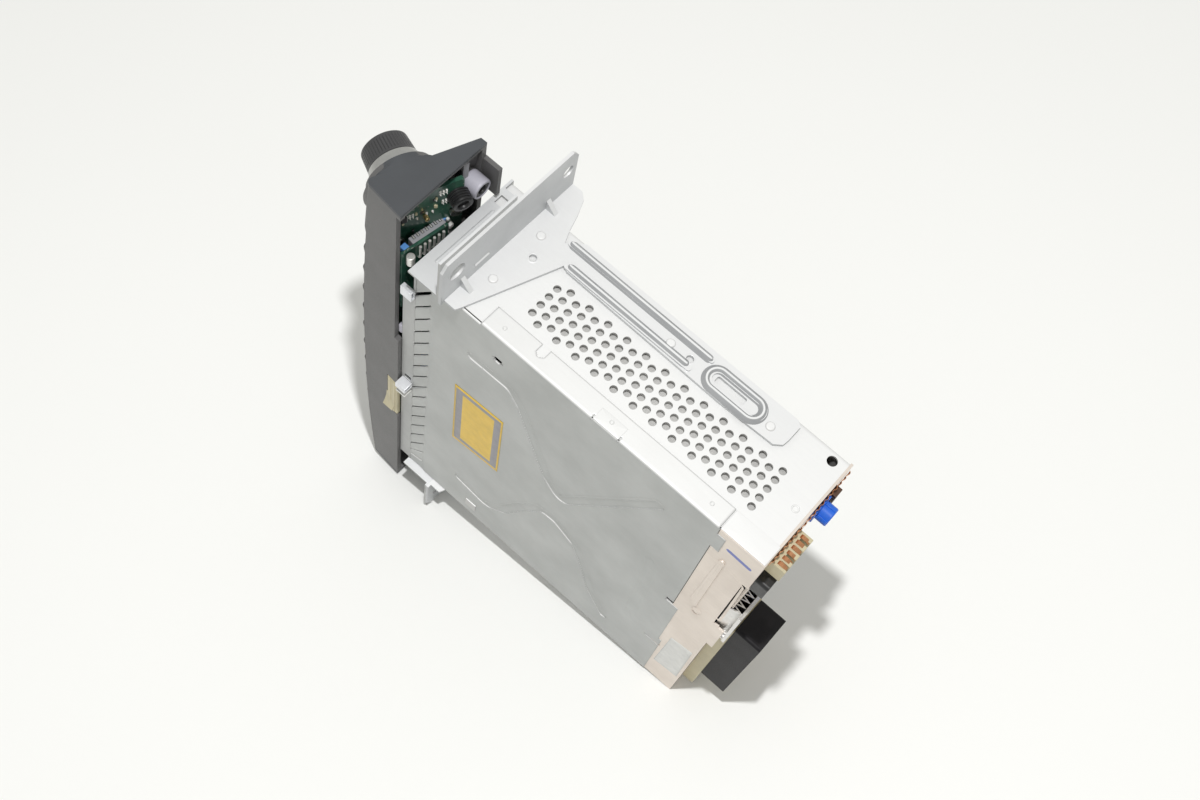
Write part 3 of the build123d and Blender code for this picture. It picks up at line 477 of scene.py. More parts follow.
class Finish(Enum):
    """Every finish that a piece of the radio can wear."""

    ZINC = "bright_zinc"
    COVER = "grey_cover"
    BARE = "beige_zinc"
    PANEL = "panel_plastic"
    KNOB = "knob_plastic"
    SILVER = "satin_silver"
    BLACK = "black_plastic"
    KEY = "key_plastic"
    WINDOW = "smoked_window"
    GLASS = "display_glass"
    BOARD = "board_lacquer"
    WHITE = "white_nylon"
    GREY = "grey_nylon"
    CREAM = "cream_nylon"
    BLUE = "blue_housing"
    BROWN = "brown_housing"
    RUBBER = "black_rubber"
    GREY_RUBBER = "grey_rubber"
    STEEL = "screw_steel"
    COPPER = "copper_contact"
    TIN = "tinned_pin"
    BRASS = "brass_blade"
    ALUMINIUM = "milled_aluminium"
    CABLE = "blue_flat_cable"
    YELLOW = "yellow_label"
    PAPER = "white_label"
    CHIP = "chip_epoxy"
    BRACKET = "bracket_zinc"
    CLIP = "clip_steel"
    SOCKET = "socket_plastic"
    LILAC = "lilac_nylon"
    INK = "blue_ink"
    FRAME = "frame_zinc"
    BEAD = "bead_zinc_shade_and_highlight"
    LINING = "vent_painted_shade"


@dataclass(frozen=True)
class SheetMetal:
    """Cold rolled sheet with a zinc coat: cloudy tone, fine scratches, soft shine, and a painted highlight
    on faces that look along Z where one is given.
    """

    light: Colour
    dark: Colour
    metallic: float
    rough: tuple[float, float]
    scratch: float = 0.3
    painted_highlight: Colour | None = None
    highlight_facing: Spot = (0.35, 0.8)

    def make(self, name: str) -> bpy.types.Material:
        """Builds the material; faces that look along Z, either way, take the paler tone as a painted
        highlight, and the rest keep the darker base as painted shade.
        """
        g = Graph(name)
        cloud = g.ramp(g.noise(38.0, 5.0, 0.6), 0.0, 1.0, 0.36, 0.64)
        grain = g.ramp(g.noise(900.0, 2.0, 0.5, (1.0, 0.07, 1.0)), 0.0, 1.0, 0.3, 0.7)
        tone = g.math("ADD", g.math("MULTIPLY", cloud, 0.75), g.math("MULTIPLY", grain, 0.25))
        colour = g.blend(tone, self.dark, self.light)
        # Painted light: the paler tone on Z-facing faces stands in for the flash from above; side faces keep
        # the darker base as painted shade.
        if self.painted_highlight:
            painted_pale = g.blend(tone, tuple(0.94 * c for c in self.painted_highlight), self.painted_highlight)
            colour = g.blend(g.ramp(g.upright(), 0.0, 1.0, *self.highlight_facing), colour, painted_pale)
        g.feed(colour, "Base Color")
        marks = g.ramp(g.noise(260.0, 4.0, 0.7, (0.6, 0.12, 2.0)), 0.0, 1.0, 0.55, 0.75)
        rough = g.math("ADD", g.ramp(cloud, self.rough[1], self.rough[0]),
                       g.math("MULTIPLY", marks, 0.12 * self.scratch))
        g.feed(rough, "Roughness")
        g.set(metallic=self.metallic)
        g.bump(g.math("ADD", g.math("MULTIPLY", grain, 0.4), marks), 0.00002, 0.35)
        return g.material


@dataclass(frozen=True)
class Moulding:
    """Moulded plastic: one tone with a faint mottle and a fine texture."""

    light: Colour
    dark: Colour
    rough: float
    texture: float = 2200.0
    relief: float = 0.00003
    specular: float = 0.5
    level: float = 1000.0
    end: Colour = (0.1, 0.1, 0.1)

    def make(self, name: str) -> bpy.types.Material:
        """Builds the material; above the level, in millimetres, it takes the end tone."""
        g = Graph(name)
        cloud = g.ramp(g.noise(60.0, 4.0, 0.6), 0.0, 1.0, 0.35, 0.65)
        colour = g.blend(cloud, self.dark, self.light)
        if self.level < 1000.0:
            end = g.blend(cloud, tuple(0.9 * c for c in self.end), self.end)
            colour = g.above(self.level, colour, end)
        g.feed(colour, "Base Color")
        fine = g.noise(self.texture, 2.0, 0.6)
        g.feed(g.ramp(fine, self.rough - 0.06, self.rough + 0.06, 0.3, 0.7), "Roughness")
        g.set(specular_ior_level=self.specular)
        g.bump(fine, self.relief, 0.4)
        return g.material


@dataclass(frozen=True)
class TurnedMetal:
    """Plated or turned metal parts: pins, rings, screws and blades."""

    light: Colour
    dark: Colour
    rough: float
    metallic: float = 1.0

    def make(self, name: str) -> bpy.types.Material:
        """Builds the material."""
        g = Graph(name)
        cloud = g.ramp(g.noise(300.0, 4.0, 0.6), 0.0, 1.0, 0.35, 0.65)
        g.feed(g.blend(cloud, self.dark, self.light), "Base Color")
        fine = g.noise(3000.0, 2.0, 0.5, (0.2, 1.0, 1.0))
        g.feed(g.ramp(fine, self.rough - 0.05, self.rough + 0.08, 0.3, 0.7), "Roughness")
        g.set(metallic=self.metallic)
        g.bump(fine, 0.00001, 0.3)
        return g.material


@dataclass(frozen=True)
class BoardLacquer:
    """Green solder mask with paler tracks and a speckle of solder."""

    def make(self, name: str) -> bpy.types.Material:
        """Builds the material."""
        g = Graph(name)
        tracks = g.ramp(g.cells(230.0, (1.0, 1.0, 0.35)), 0.0, 1.0, 0.55, 0.6)
        tone = g.blend(tracks, (0.02, 0.075, 0.05), (0.035, 0.115, 0.075))
        dots = g.ramp(g.noise(700.0, 2.0, 0.5), 0.0, 1.0, 0.68, 0.72)
        g.feed(g.blend(dots, tone, (0.25, 0.27, 0.24)), "Base Color")
        g.set(roughness=0.32, coat_weight=0.4, coat_roughness=0.15)
        g.bump(tracks, 0.00004, 0.4)
        return g.material


@dataclass(frozen=True)
class SmokedWindow:
    """Dark tinted acrylic, smooth on its outer face."""

    def make(self, name: str) -> bpy.types.Material:
        """Builds the material."""
        g = Graph(name)
        cloud = g.ramp(g.noise(50.0), 0.0, 1.0)
        g.feed(g.blend(cloud, (0.015, 0.016, 0.018), (0.024, 0.025, 0.028)), "Base Color")
        g.feed(g.ramp(g.noise(800.0), 0.03, 0.09), "Roughness")
        g.set(coat_weight=0.6, coat_roughness=0.05)
        return g.material


@dataclass(frozen=True)
class PrintedLabel:
    """A printed sticker: a thin rim, side and end bands and a field, all bare of words.

    The shares are (across, along) of the label's width and length.
    """

    field_colour: Colour
    band_colour: Colour
    rim: Spot = (0.03, 0.03)
    bands: Spot = (0.0, 0.0)

    def make(self, name: str) -> bpy.types.Material:
        """Builds the material on the piece's own UV map."""
        g = Graph(name)
        split = g.tree.nodes.new("ShaderNodeSeparateXYZ")
        g.tree.links.new(g.coord.outputs["UV"], split.inputs[0])
        away = [g.math("MINIMUM", split.outputs[k], g.math("SUBTRACT", 1.0, split.outputs[k]))
                for k in (0, 1)]

        def inside(reach: Spot) -> bpy.types.NodeSocket:
            parts = [g.ramp(away[k], 0.0, 1.0, reach[k], reach[k] + 0.006) for k in (0, 1)]
            return g.math("MULTIPLY", *parts)

        inner = inside((self.rim[0] + self.bands[0], self.rim[1] + self.bands[1]))
        banded = g.blend(inner, self.band_colour, self.field_colour)
        flat = g.blend(inside(self.rim), self.field_colour, banded)
        paper = g.ramp(g.noise(240.0, 4.0, 0.6), 0.9, 1.04, 0.3, 0.7)
        node = g.tree.nodes.new("ShaderNodeMix")
        node.data_type = "RGBA"
        node.blend_type = "MULTIPLY"
        node.inputs[0].default_value = 1.0
        g.tree.links.new(flat, node.inputs[6])
        g.tree.links.new(paper, node.inputs[7])
        g.feed(node.outputs[2], "Base Color")
        g.feed(g.ramp(g.noise(500.0), 0.38, 0.55), "Roughness")
        g.bump(g.noise(900.0), 0.00001, 0.3)
        return g.material


AnyFinish = SheetMetal | Moulding | TurnedMetal | BoardLacquer | SmokedWindow | PrintedLabel
# In every SheetMetal below, the sixth colour is a painted highlight for faces that look along Z; the first
# two colours then act partly as painted shade on the other faces.
FINISHES: dict[Finish, AnyFinish] = {
    Finish.ZINC: SheetMetal((0.58, 0.575, 0.565), (0.52, 0.515, 0.505), 0.15, (0.4, 0.52), 0.3,
                            (0.87, 0.87, 0.868)),
    Finish.COVER: SheetMetal((0.49, 0.5, 0.492), (0.445, 0.455, 0.447), 0.3, (0.42, 0.56), 0.3,
                             (0.85, 0.85, 0.845)),
    Finish.BARE: SheetMetal((0.82, 0.735, 0.66), (0.72, 0.645, 0.58), 0.35, (0.36, 0.5), 0.8),
    Finish.PANEL: Moulding((0.143, 0.14, 0.14), (0.125, 0.123, 0.123), 0.5, level=233.5,
                           end=(0.07, 0.075, 0.083)),
    Finish.KNOB: Moulding((0.06, 0.06, 0.062), (0.05, 0.05, 0.052), 0.36),
    Finish.SILVER: TurnedMetal((0.52, 0.52, 0.5), (0.44, 0.44, 0.43), 0.35, 0.7),
    Finish.BLACK: Moulding((0.02, 0.02, 0.021), (0.014, 0.014, 0.015), 0.4),
    Finish.KEY: Moulding((0.07, 0.068, 0.068), (0.058, 0.057, 0.058), 0.45),
    Finish.WINDOW: SmokedWindow(),
    Finish.GLASS: Moulding((0.11, 0.12, 0.1), (0.08, 0.09, 0.08), 0.15),
    Finish.BOARD: BoardLacquer(),
    Finish.WHITE: Moulding((0.74, 0.74, 0.71), (0.66, 0.66, 0.63), 0.45),
    Finish.GREY: Moulding((0.34, 0.34, 0.36), (0.28, 0.28, 0.3), 0.45),
    Finish.CREAM: Moulding((0.6, 0.54, 0.36), (0.5, 0.45, 0.3), 0.45),
    Finish.BLUE: Moulding((0.02, 0.16, 0.75), (0.015, 0.11, 0.6), 0.35),
    Finish.BROWN: Moulding((0.1, 0.05, 0.03), (0.07, 0.035, 0.02), 0.4),
    Finish.RUBBER: Moulding((0.025, 0.025, 0.025), (0.018, 0.018, 0.018), 0.7),
    Finish.GREY_RUBBER: Moulding((0.35, 0.35, 0.34), (0.3, 0.3, 0.29), 0.7),
    Finish.STEEL: TurnedMetal((0.62, 0.61, 0.58), (0.52, 0.51, 0.49), 0.3),
    Finish.COPPER: TurnedMetal((0.75, 0.38, 0.2), (0.62, 0.28, 0.14), 0.3),
    Finish.TIN: TurnedMetal((0.82, 0.81, 0.78), (0.72, 0.71, 0.68), 0.32, 0.6),
    Finish.BRASS: TurnedMetal((0.72, 0.55, 0.27), (0.6, 0.43, 0.2), 0.3),
    Finish.ALUMINIUM: TurnedMetal((0.76, 0.75, 0.73), (0.66, 0.65, 0.64), 0.32),
    Finish.CABLE: Moulding((0.12, 0.32, 0.7), (0.1, 0.26, 0.6), 0.3),
    Finish.YELLOW: PrintedLabel((0.8, 0.54, 0.08), (0.31, 0.3, 0.32), (0.032, 0.03), (0.135, 0.055)),
    Finish.PAPER: PrintedLabel((0.74, 0.74, 0.72), (0.74, 0.74, 0.72)),
    Finish.CHIP: Moulding((0.03, 0.03, 0.031), (0.022, 0.022, 0.023), 0.55),
    Finish.BRACKET: SheetMetal((0.53, 0.54, 0.55), (0.48, 0.49, 0.5), 0.25, (0.34, 0.46), 0.3,
                               (0.86, 0.863, 0.868)),
    Finish.CLIP: TurnedMetal((0.86, 0.87, 0.9), (0.78, 0.79, 0.82), 0.4, 0.5),
    Finish.SOCKET: Moulding((0.024, 0.023, 0.025), (0.014, 0.013, 0.015), 0.5, specular=0.15),
    Finish.LILAC: Moulding((0.52, 0.51, 0.58), (0.45, 0.44, 0.5), 0.45),
    Finish.INK: Moulding((0.2, 0.24, 0.56), (0.17, 0.2, 0.5), 0.5),
    Finish.FRAME: SheetMetal((0.47, 0.475, 0.47), (0.42, 0.425, 0.42), 0.3, (0.4, 0.54), 0.3,
                             (0.78, 0.79, 0.8)),
    # Bead slopes keep this dark grey base as painted shade, and only near-flat crests take the pale painted
    # highlight.
    Finish.BEAD: SheetMetal((0.42, 0.427, 0.437), (0.34, 0.347, 0.357), 0.25, (0.4, 0.52), 0.6,
                            (0.86, 0.865, 0.87), (0.76, 0.95)),
    # Painted shade: a plate darker than the lit zinc, laid on the inner sheet so the vent holes look shaded
    # inside.
    Finish.LINING: SheetMetal((0.66, 0.655, 0.64), (0.56, 0.555, 0.54), 0.1, (0.45, 0.6)),
}
_made: dict[Finish, bpy.types.Material] = {}


def finish(kind: Finish) -> bpy.types.Material:
    """The one material of a finish, made when it is first asked for."""
    if kind not in _made:
        _made[kind] = FINISHES[kind].make(kind.value)
    return _made[kind]


def paint(piece: bpy.types.Object, kind: Finish) -> bpy.types.Object:
    """Gives a whole piece one finish."""
    piece.data.materials.clear()
    piece.data.materials.append(finish(kind))
    return piece


def settle(piece: bpy.types.Object, body: str, slot: str, *nodes: str) -> bpy.types.Object:
    """Lets a piece ride on a body and hides the nodes it stands for."""
    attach(piece, body)
    if nodes:
        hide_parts(*nodes)
    log.info("%s: %d faces", piece.name, len(piece.data.polygons))
    return piece


def turned(name: str, profile: Sequence[Spot], origin: Array, axis: Array, kind: Finish,
           steps: int = 40, angle: float = 40.0) -> bpy.types.Object:
    """A piece turned by lathe(), shaded smooth below the angle and painted."""
    return paint(smooth(lathe(name, profile, origin, axis, steps), angle), kind)


def rework(node: str, width: float, kind: Finish, slot: str, name: str, body: str = "unit",
           angle: float = 35.0) -> bpy.types.Object:
    """Puts a softened copy of a CAD node in its place.

    Args:
        node: CAD node that the piece stands for.
        width: Edge rounding in millimetres.
        kind: Finish of the piece.
        slot: Material slot in the record; not used.
        name: Name of the piece.
        body: Body that it rides on.
        angle: Edges sharper than this many degrees are rounded.

    Returns:
        The settled piece.
    """
    return settle(paint(soften(node, width, name, angle), kind), body, slot, node)


# Camera, table and lamps.


@dataclass
class Studio:
    """Camera, pale table, one small flash and an even sky."""

    focal: float = 1440.323 / 1200 * 36.0
    camera_at: tuple[float, float, float] = (211.3319, 96.9781, 648.0437)
    right: tuple[float, float, float] = (-0.6499734, 0.7484851, 0.131547)
    down: tuple[float, float, float] = (0.6540363, 0.6390868, -0.4047279)
    ahead: tuple[float, float, float] = (-0.3870027, -0.1770259, -0.9049258)
    low_edge: tuple[float, float] = (89.0, 28.5)
    lean: float = 26.0 / 141.0
    table: Colour = (0.865, 0.866, 0.852)
    flash_at: tuple[float, float, float] = (100.0, 12.0, 686.0)
    flash: float = 24.0
    flash_size: float = 9.0
    sky: float = 0.56

    def build(self) -> None:
        """Makes the camera, the table and the lamps."""
        self._camera()
        self._table()
        self._lamps()

    def _camera(self) -> None:
        """Sets the camera from the solved view of the photograph."""
        lens = bpy.data.cameras.new("view")
        lens.sensor_width = 36.0
        lens.lens = self.focal
        lens.clip_start = 0.01
        camera = bpy.data.objects.new("view", lens)
        bpy.context.scene.collection.objects.link(camera)
        turn = Matrix((self.right, [-v for v in self.down], [-v for v in self.ahead])).transposed()
        place = turn.to_4x4()
        place.translation = Vector(self.camera_at) * MM
        camera.matrix_world = place
        bpy.context.scene.camera = camera

    def _table(self) -> None:
        """Lays the table under the unit, which leans back on its rear edge and lower ears."""
        reach = 3000.0
        y = np.array([-reach, reach])
        z = self.low_edge[1] + (y - self.low_edge[0]) * self.lean - 0.05
        x = np.array([-reach, reach])
        points = np.stack([np.stack([x, np.full(2, y[k]), np.full(2, z[k])], -1) for k in (0, 1)])
        floor = grid_mesh("table", points)
        g = Graph("table_paint")
        cloud = g.ramp(g.noise(2.0, 3.0), 0.0, 1.0, 0.3, 0.7)
        g.feed(g.blend(cloud, self.table, tuple(c * 1.015 for c in self.table)), "Base Color")
        g.set(roughness=0.6, specular_ior_level=0.2)
        floor.data.materials.append(g.material)

    def _lamps(self) -> None:
        """A small flash above the unit, even at every distance, and an even sky."""
        world = bpy.data.worlds.new("sky")
        world.use_nodes = True
        back = world.node_tree.nodes["Background"]
        back.inputs["Color"].default_value = (1.0, 1.0, 0.96, 1.0)
        back.inputs["Strength"].default_value = self.sky
        bpy.context.scene.world = world
        lamp = bpy.data.lights.new("flash", "POINT")
        lamp.energy = self.flash
        lamp.shadow_soft_size = self.flash_size * MM
        lamp.use_nodes = True
        fall = lamp.node_tree.nodes.new("ShaderNodeLightFalloff")
        fall.inputs["Strength"].default_value = 1.0
        glow = lamp.node_tree.nodes["Emission"]
        lamp.node_tree.links.new(fall.outputs["Constant"], glow.inputs["Strength"])
        item = bpy.data.objects.new("flash", lamp)
        bpy.context.scene.collection.objects.link(item)
        item.location = Vector(self.flash_at) * MM
        bpy.context.scene.view_settings.view_transform = "Standard"


# Shapes that several sub-assemblies share.


FACE_ORIGIN = np.array([29.4, -97.8, 0.0])
FACE_TILT = math.radians(21.2)
FACE_NORMAL = np.array([-math.sin(FACE_TILT), -math.cos(FACE_TILT), 0.0])
FACE_UP = np.array([-math.cos(FACE_TILT), math.sin(FACE_TILT), 0.0])
FACE_BASIS = np.eye(4)
FACE_BASIS[:3, 0] = (0.0, 0.0, 1.0)
FACE_BASIS[:3, 1] = FACE_UP
FACE_BASIS[:3, 2] = FACE_NORMAL
FACE_BASIS[:3, 3] = FACE_ORIGIN
BOARD_REAR = -12.4
X_AXIS, Y_AXIS, Z_AXIS = np.eye(3)


def face_point(z: float, u: float, w: float = 0.0) -> Array:
    """A point given along the face, across it and out of it, in the row frame."""
    return FACE_ORIGIN + z * Z_AXIS + u * FACE_UP + w * FACE_NORMAL


def basis(origin: Sequence[float], x: Sequence[float], y: Sequence[float]) -> Array:
    """A 4x4 frame with its third axis square to the two given ones."""
    made = np.eye(4)
    made[:3, 0], made[:3, 1] = x, y
    made[:3, 2] = np.cross(x, y)
    made[:3, 3] = origin
    return made


def ease(value: Array) -> Array:
    """Smooth step from 0 to 1: 3t^2 - 2t^3 with t clipped."""
    t = np.clip(value, 0.0, 1.0)
    return t * t * (3 - 2 * t)


def path_distance(a: Array, b: Array, path: Sequence[Spot]) -> Array:
    """Distance of every point (a, b) from an open path, over all its straight spans."""
    spots = np.asarray(path, float)
    start, span = spots[:-1], np.diff(spots, axis=0)
    point = np.stack([a, b], -1)[..., None, :]
    share = ((point - start) * span).sum(-1) / (span**2).sum(-1)
    near = start + np.clip(share, 0, 1)[..., None] * span
    return np.linalg.norm(point - near, axis=-1).min(-1)


def lines(start: float, end: float, pitch: float, exact: Sequence[float]) -> Array:
    """Evenly spaced grid lines that also pass through the exact values."""
    even = np.linspace(start, end, max(2, int(round((end - start) / pitch)) + 1))
    marks = np.asarray([v for v in exact if start <= v <= end], float)
    if len(marks):
        gap = np.abs(even[:, None] - marks[None, :]).min(1)
        even = even[(gap > 0.45 * pitch) | (even == start) | (even == end)]
    return np.unique(np.round(np.concatenate([even, marks]), 5))


def trace(path: Sequence[Spot], corner: float, closed: bool = False) -> tuple[Array, Array]:
    """A path with rounded corners, and the length run at each of its points."""
    spots = np.asarray(rounded(path, corner, 8, closed=closed), float)
    if closed:
        spots = np.vstack([spots, spots[:1]])
    return spots, np.concatenate([[0.0], np.cumsum(np.linalg.norm(np.diff(spots, axis=0), axis=1))])


def ridge(name: str, path: Sequence[Spot], level: float, width: float, height: float,
          place: Callable[[Array, Array, Array], Array], flat: float = 0.3,
          closed: bool = False, corner: float = 3.0, straight: bool = False) -> bpy.types.Object:
    """A pressed bead: a smooth hump carried along a path, running out at its ends.

    Height across the bead is height * ease((1 - |t|) / (1 - flat)), with t from -1 to 1
    across its width; both ends shrink in width and height on a half circle.

    Args:
        name: Name of the object.
        path: Path in the sheet's plane, in millimetres.
        level: Position of the sheet's face along its normal.
        width: Full width of the bead at its foot.
        height: Height of the bead.
        place: Turns (a, b, rise) arrays into row frame points.
        flat: Share of the half width that stays at full height.
        closed: Joins the path to a loop.
        corner: Radius of the path's corners.
        straight: Gives the bead plain slopes in place of the smooth ones.

    Returns:
        The bead.
    """
    spots, run = trace(path, corner, closed)
    count = max(12, int(run[-1] / 0.7))
    s = np.linspace(0, run[-1], count)
    if not closed:
        r = width / 2
        turn = r * (1 - np.cos(np.linspace(0, np.pi / 2, 8)))
        s = np.unique(np.concatenate([turn, run[-1] - turn, s[(s > r) & (s < run[-1] - r)]]))
    line = np.stack([np.interp(s, run, spots[:, k]) for k in (0, 1)], -1)
    along = np.gradient(line, s, axis=0)
    if closed:
        along[0] = along[-1] = (along[0] + along[-1]) / 2
    along = unit(along)
    across = np.stack([-along[:, 1], along[:, 0]], -1)
    end = np.minimum(s, run[-1] - s)
    reach = np.sqrt(np.clip(1 - (1 - np.clip(end / (width / 2), 0, 1)) ** 2, 0, 1))
    if closed:
        reach = np.ones_like(s)
    t = np.linspace(-1, 1, 17)
    if straight:
        t = np.array([-1.0, -0.98, -flat - 0.08, -flat + 0.04, 0.0, flat - 0.04, flat + 0.08, 0.98, 1.0])
    share = (1 - np.abs(t)) / (1 - flat)
    rise = height * (np.clip(share, 0, 1) if straight else ease(share))
    a = line[:, None, 0] + across[:, None, 0] * t * (width / 2) * reach[:, None]
    b = line[:, None, 1] + across[:, None, 1] * t * (width / 2) * reach[:, None]
    lift = level - 0.02 + rise[None, :] * np.minimum(1, 1.4 * reach)[:, None]
    piece = grid_mesh(name, place(a, b, lift))
    recalc(piece, 1e-7)
    return smooth(piece, 24.0 if straight else 60.0)


def channel(name: str, path: Sequence[Spot], level: float, half: float, depth: float,
            place: Callable[[Array, Array, Array], Array], wall: float = 0.45, rim: float = 0.9,
            corner: float = 6.0) -> bpy.types.Object:
    """A pressed groove with a flat rim, steep walls and round ends.

    Every column is one closed loop at a distance q from the middle line: the path moved
    sideways by q both ways, joined by half circles. Its height is that of the sheet for
    q >= half, and level - depth * ease((half - q) / wall) inside.

    Args:
        name: Name of the object.
        path: Middle line between the centres of the two round ends.
        level: Position of the sheet's face.
        half: Half width of the groove.
        depth: Depth of its floor.
        place: Turns (a, b, rise) arrays into row frame points.
        wall: Width of the wall.
        rim: Width of the flat rim that lies on the sheet.
        corner: Radius of the path's corners.

    Returns:
        The groove.
    """
    spots, run = trace(path, corner)
    s = np.linspace(0, run[-1], max(12, int(run[-1] / 0.8)))
    line = np.stack([np.interp(s, run, spots[:, k]) for k in (0, 1)], -1)
    along = unit(np.gradient(line, s, axis=0))
    side = np.stack([-along[:, 1], along[:, 0]], -1)
    turn = np.linspace(0, np.pi, 14)[1:-1, None]
    tip = np.cos(turn) * side[-1] + np.sin(turn) * along[-1]
    tail = -np.cos(turn) * side[0] - np.sin(turn) * along[0]
    base = np.concatenate([line, np.repeat(line[-1:], 12, 0), line[::-1], np.repeat(line[:1], 12, 0)])
    out = np.concatenate([side, tip, -side[::-1], tail])
    q = np.concatenate([[half + rim, half + 0.04], half - wall * np.linspace(0, 1, 7),
                        np.linspace(half - wall, 0.0, 4)[1:]])
    rise = level + 0.03 - depth * ease((half - q) / wall)
    spot = base[:, None, :] + q[None, :, None] * out[:, None, :]
    piece = grid_mesh(name, place(spot[..., 0], spot[..., 1], np.broadcast_to(rise, spot.shape[:2])),
                      wrap_u=True)
    return smooth(piece, 34.0)


def on_cover(a: Array, b: Array, rise: Array) -> Array:
    """Sheet coordinates (y, z) on the cover side."""
    return np.stack([rise, a, b], -1)


def on_upper(a: Array, b: Array, rise: Array) -> Array:
    """Sheet coordinates (x, y) on the vented side."""
    return np.stack([a, b, rise], -1)


def on_lower(a: Array, b: Array, rise: Array) -> Array:
    """Sheet coordinates (x, y) on the side that the unit stands on."""
    return np.stack([a, b, 2 * MIDDLE_Z - rise], -1)


def on_ear(a: Array, b: Array, rise: Array) -> Array:
    """Sheet coordinates (x, z) on the rear face of an ear."""
    return np.stack([a, rise, b], -1)


def dimple(name: str, spot: Sequence[float], axis: Array, radius: float,
           height: float) -> bpy.types.Object:
    """A pressed round mark: a rim with a sunk middle.

    Args:
        name: Name of the object.
        spot: Foot of the mark.
        axis: Outward unit vector.
        radius: Outer radius.
        height: Height of its rim.

    Returns:
        The mark.
    """
    r = np.linspace(1.0, 0.0, 13)
    rise = height * (ease((1 - r) / 0.22) - 1.15 * ease((0.74 - r) / 0.3))
    profile = [(radius * a, b) for a, b in zip(r, rise)]
    return smooth(lathe(name, profile, np.asarray(spot) - 0.02 * axis, axis, 40), 70.0)


def sticker(name: str, corners: Sequence[Sequence[float]], cells: int = 10) -> bpy.types.Object:
    """A bilinear sheet between four corners, with a UV map and a faint edge."""
    a, b, c, d = (np.asarray(corner, float) for corner in corners)
    u, v = np.meshgrid(np.linspace(0, 1, cells), np.linspace(0, 1, 2 * cells), indexing="ij")
    u, v = u[..., None], v[..., None]
    points = (1 - u) * (1 - v) * a + u * (1 - v) * b + u * v * c + (1 - u) * v * d
    piece = grid_mesh(name, points, uv=True)
    shell = piece.modifiers.new("paper", "SOLIDIFY")
    shell.thickness = 0.07 * MM
    shell.offset = -1.0
    return piece


# Sub-assemblies of the radio.


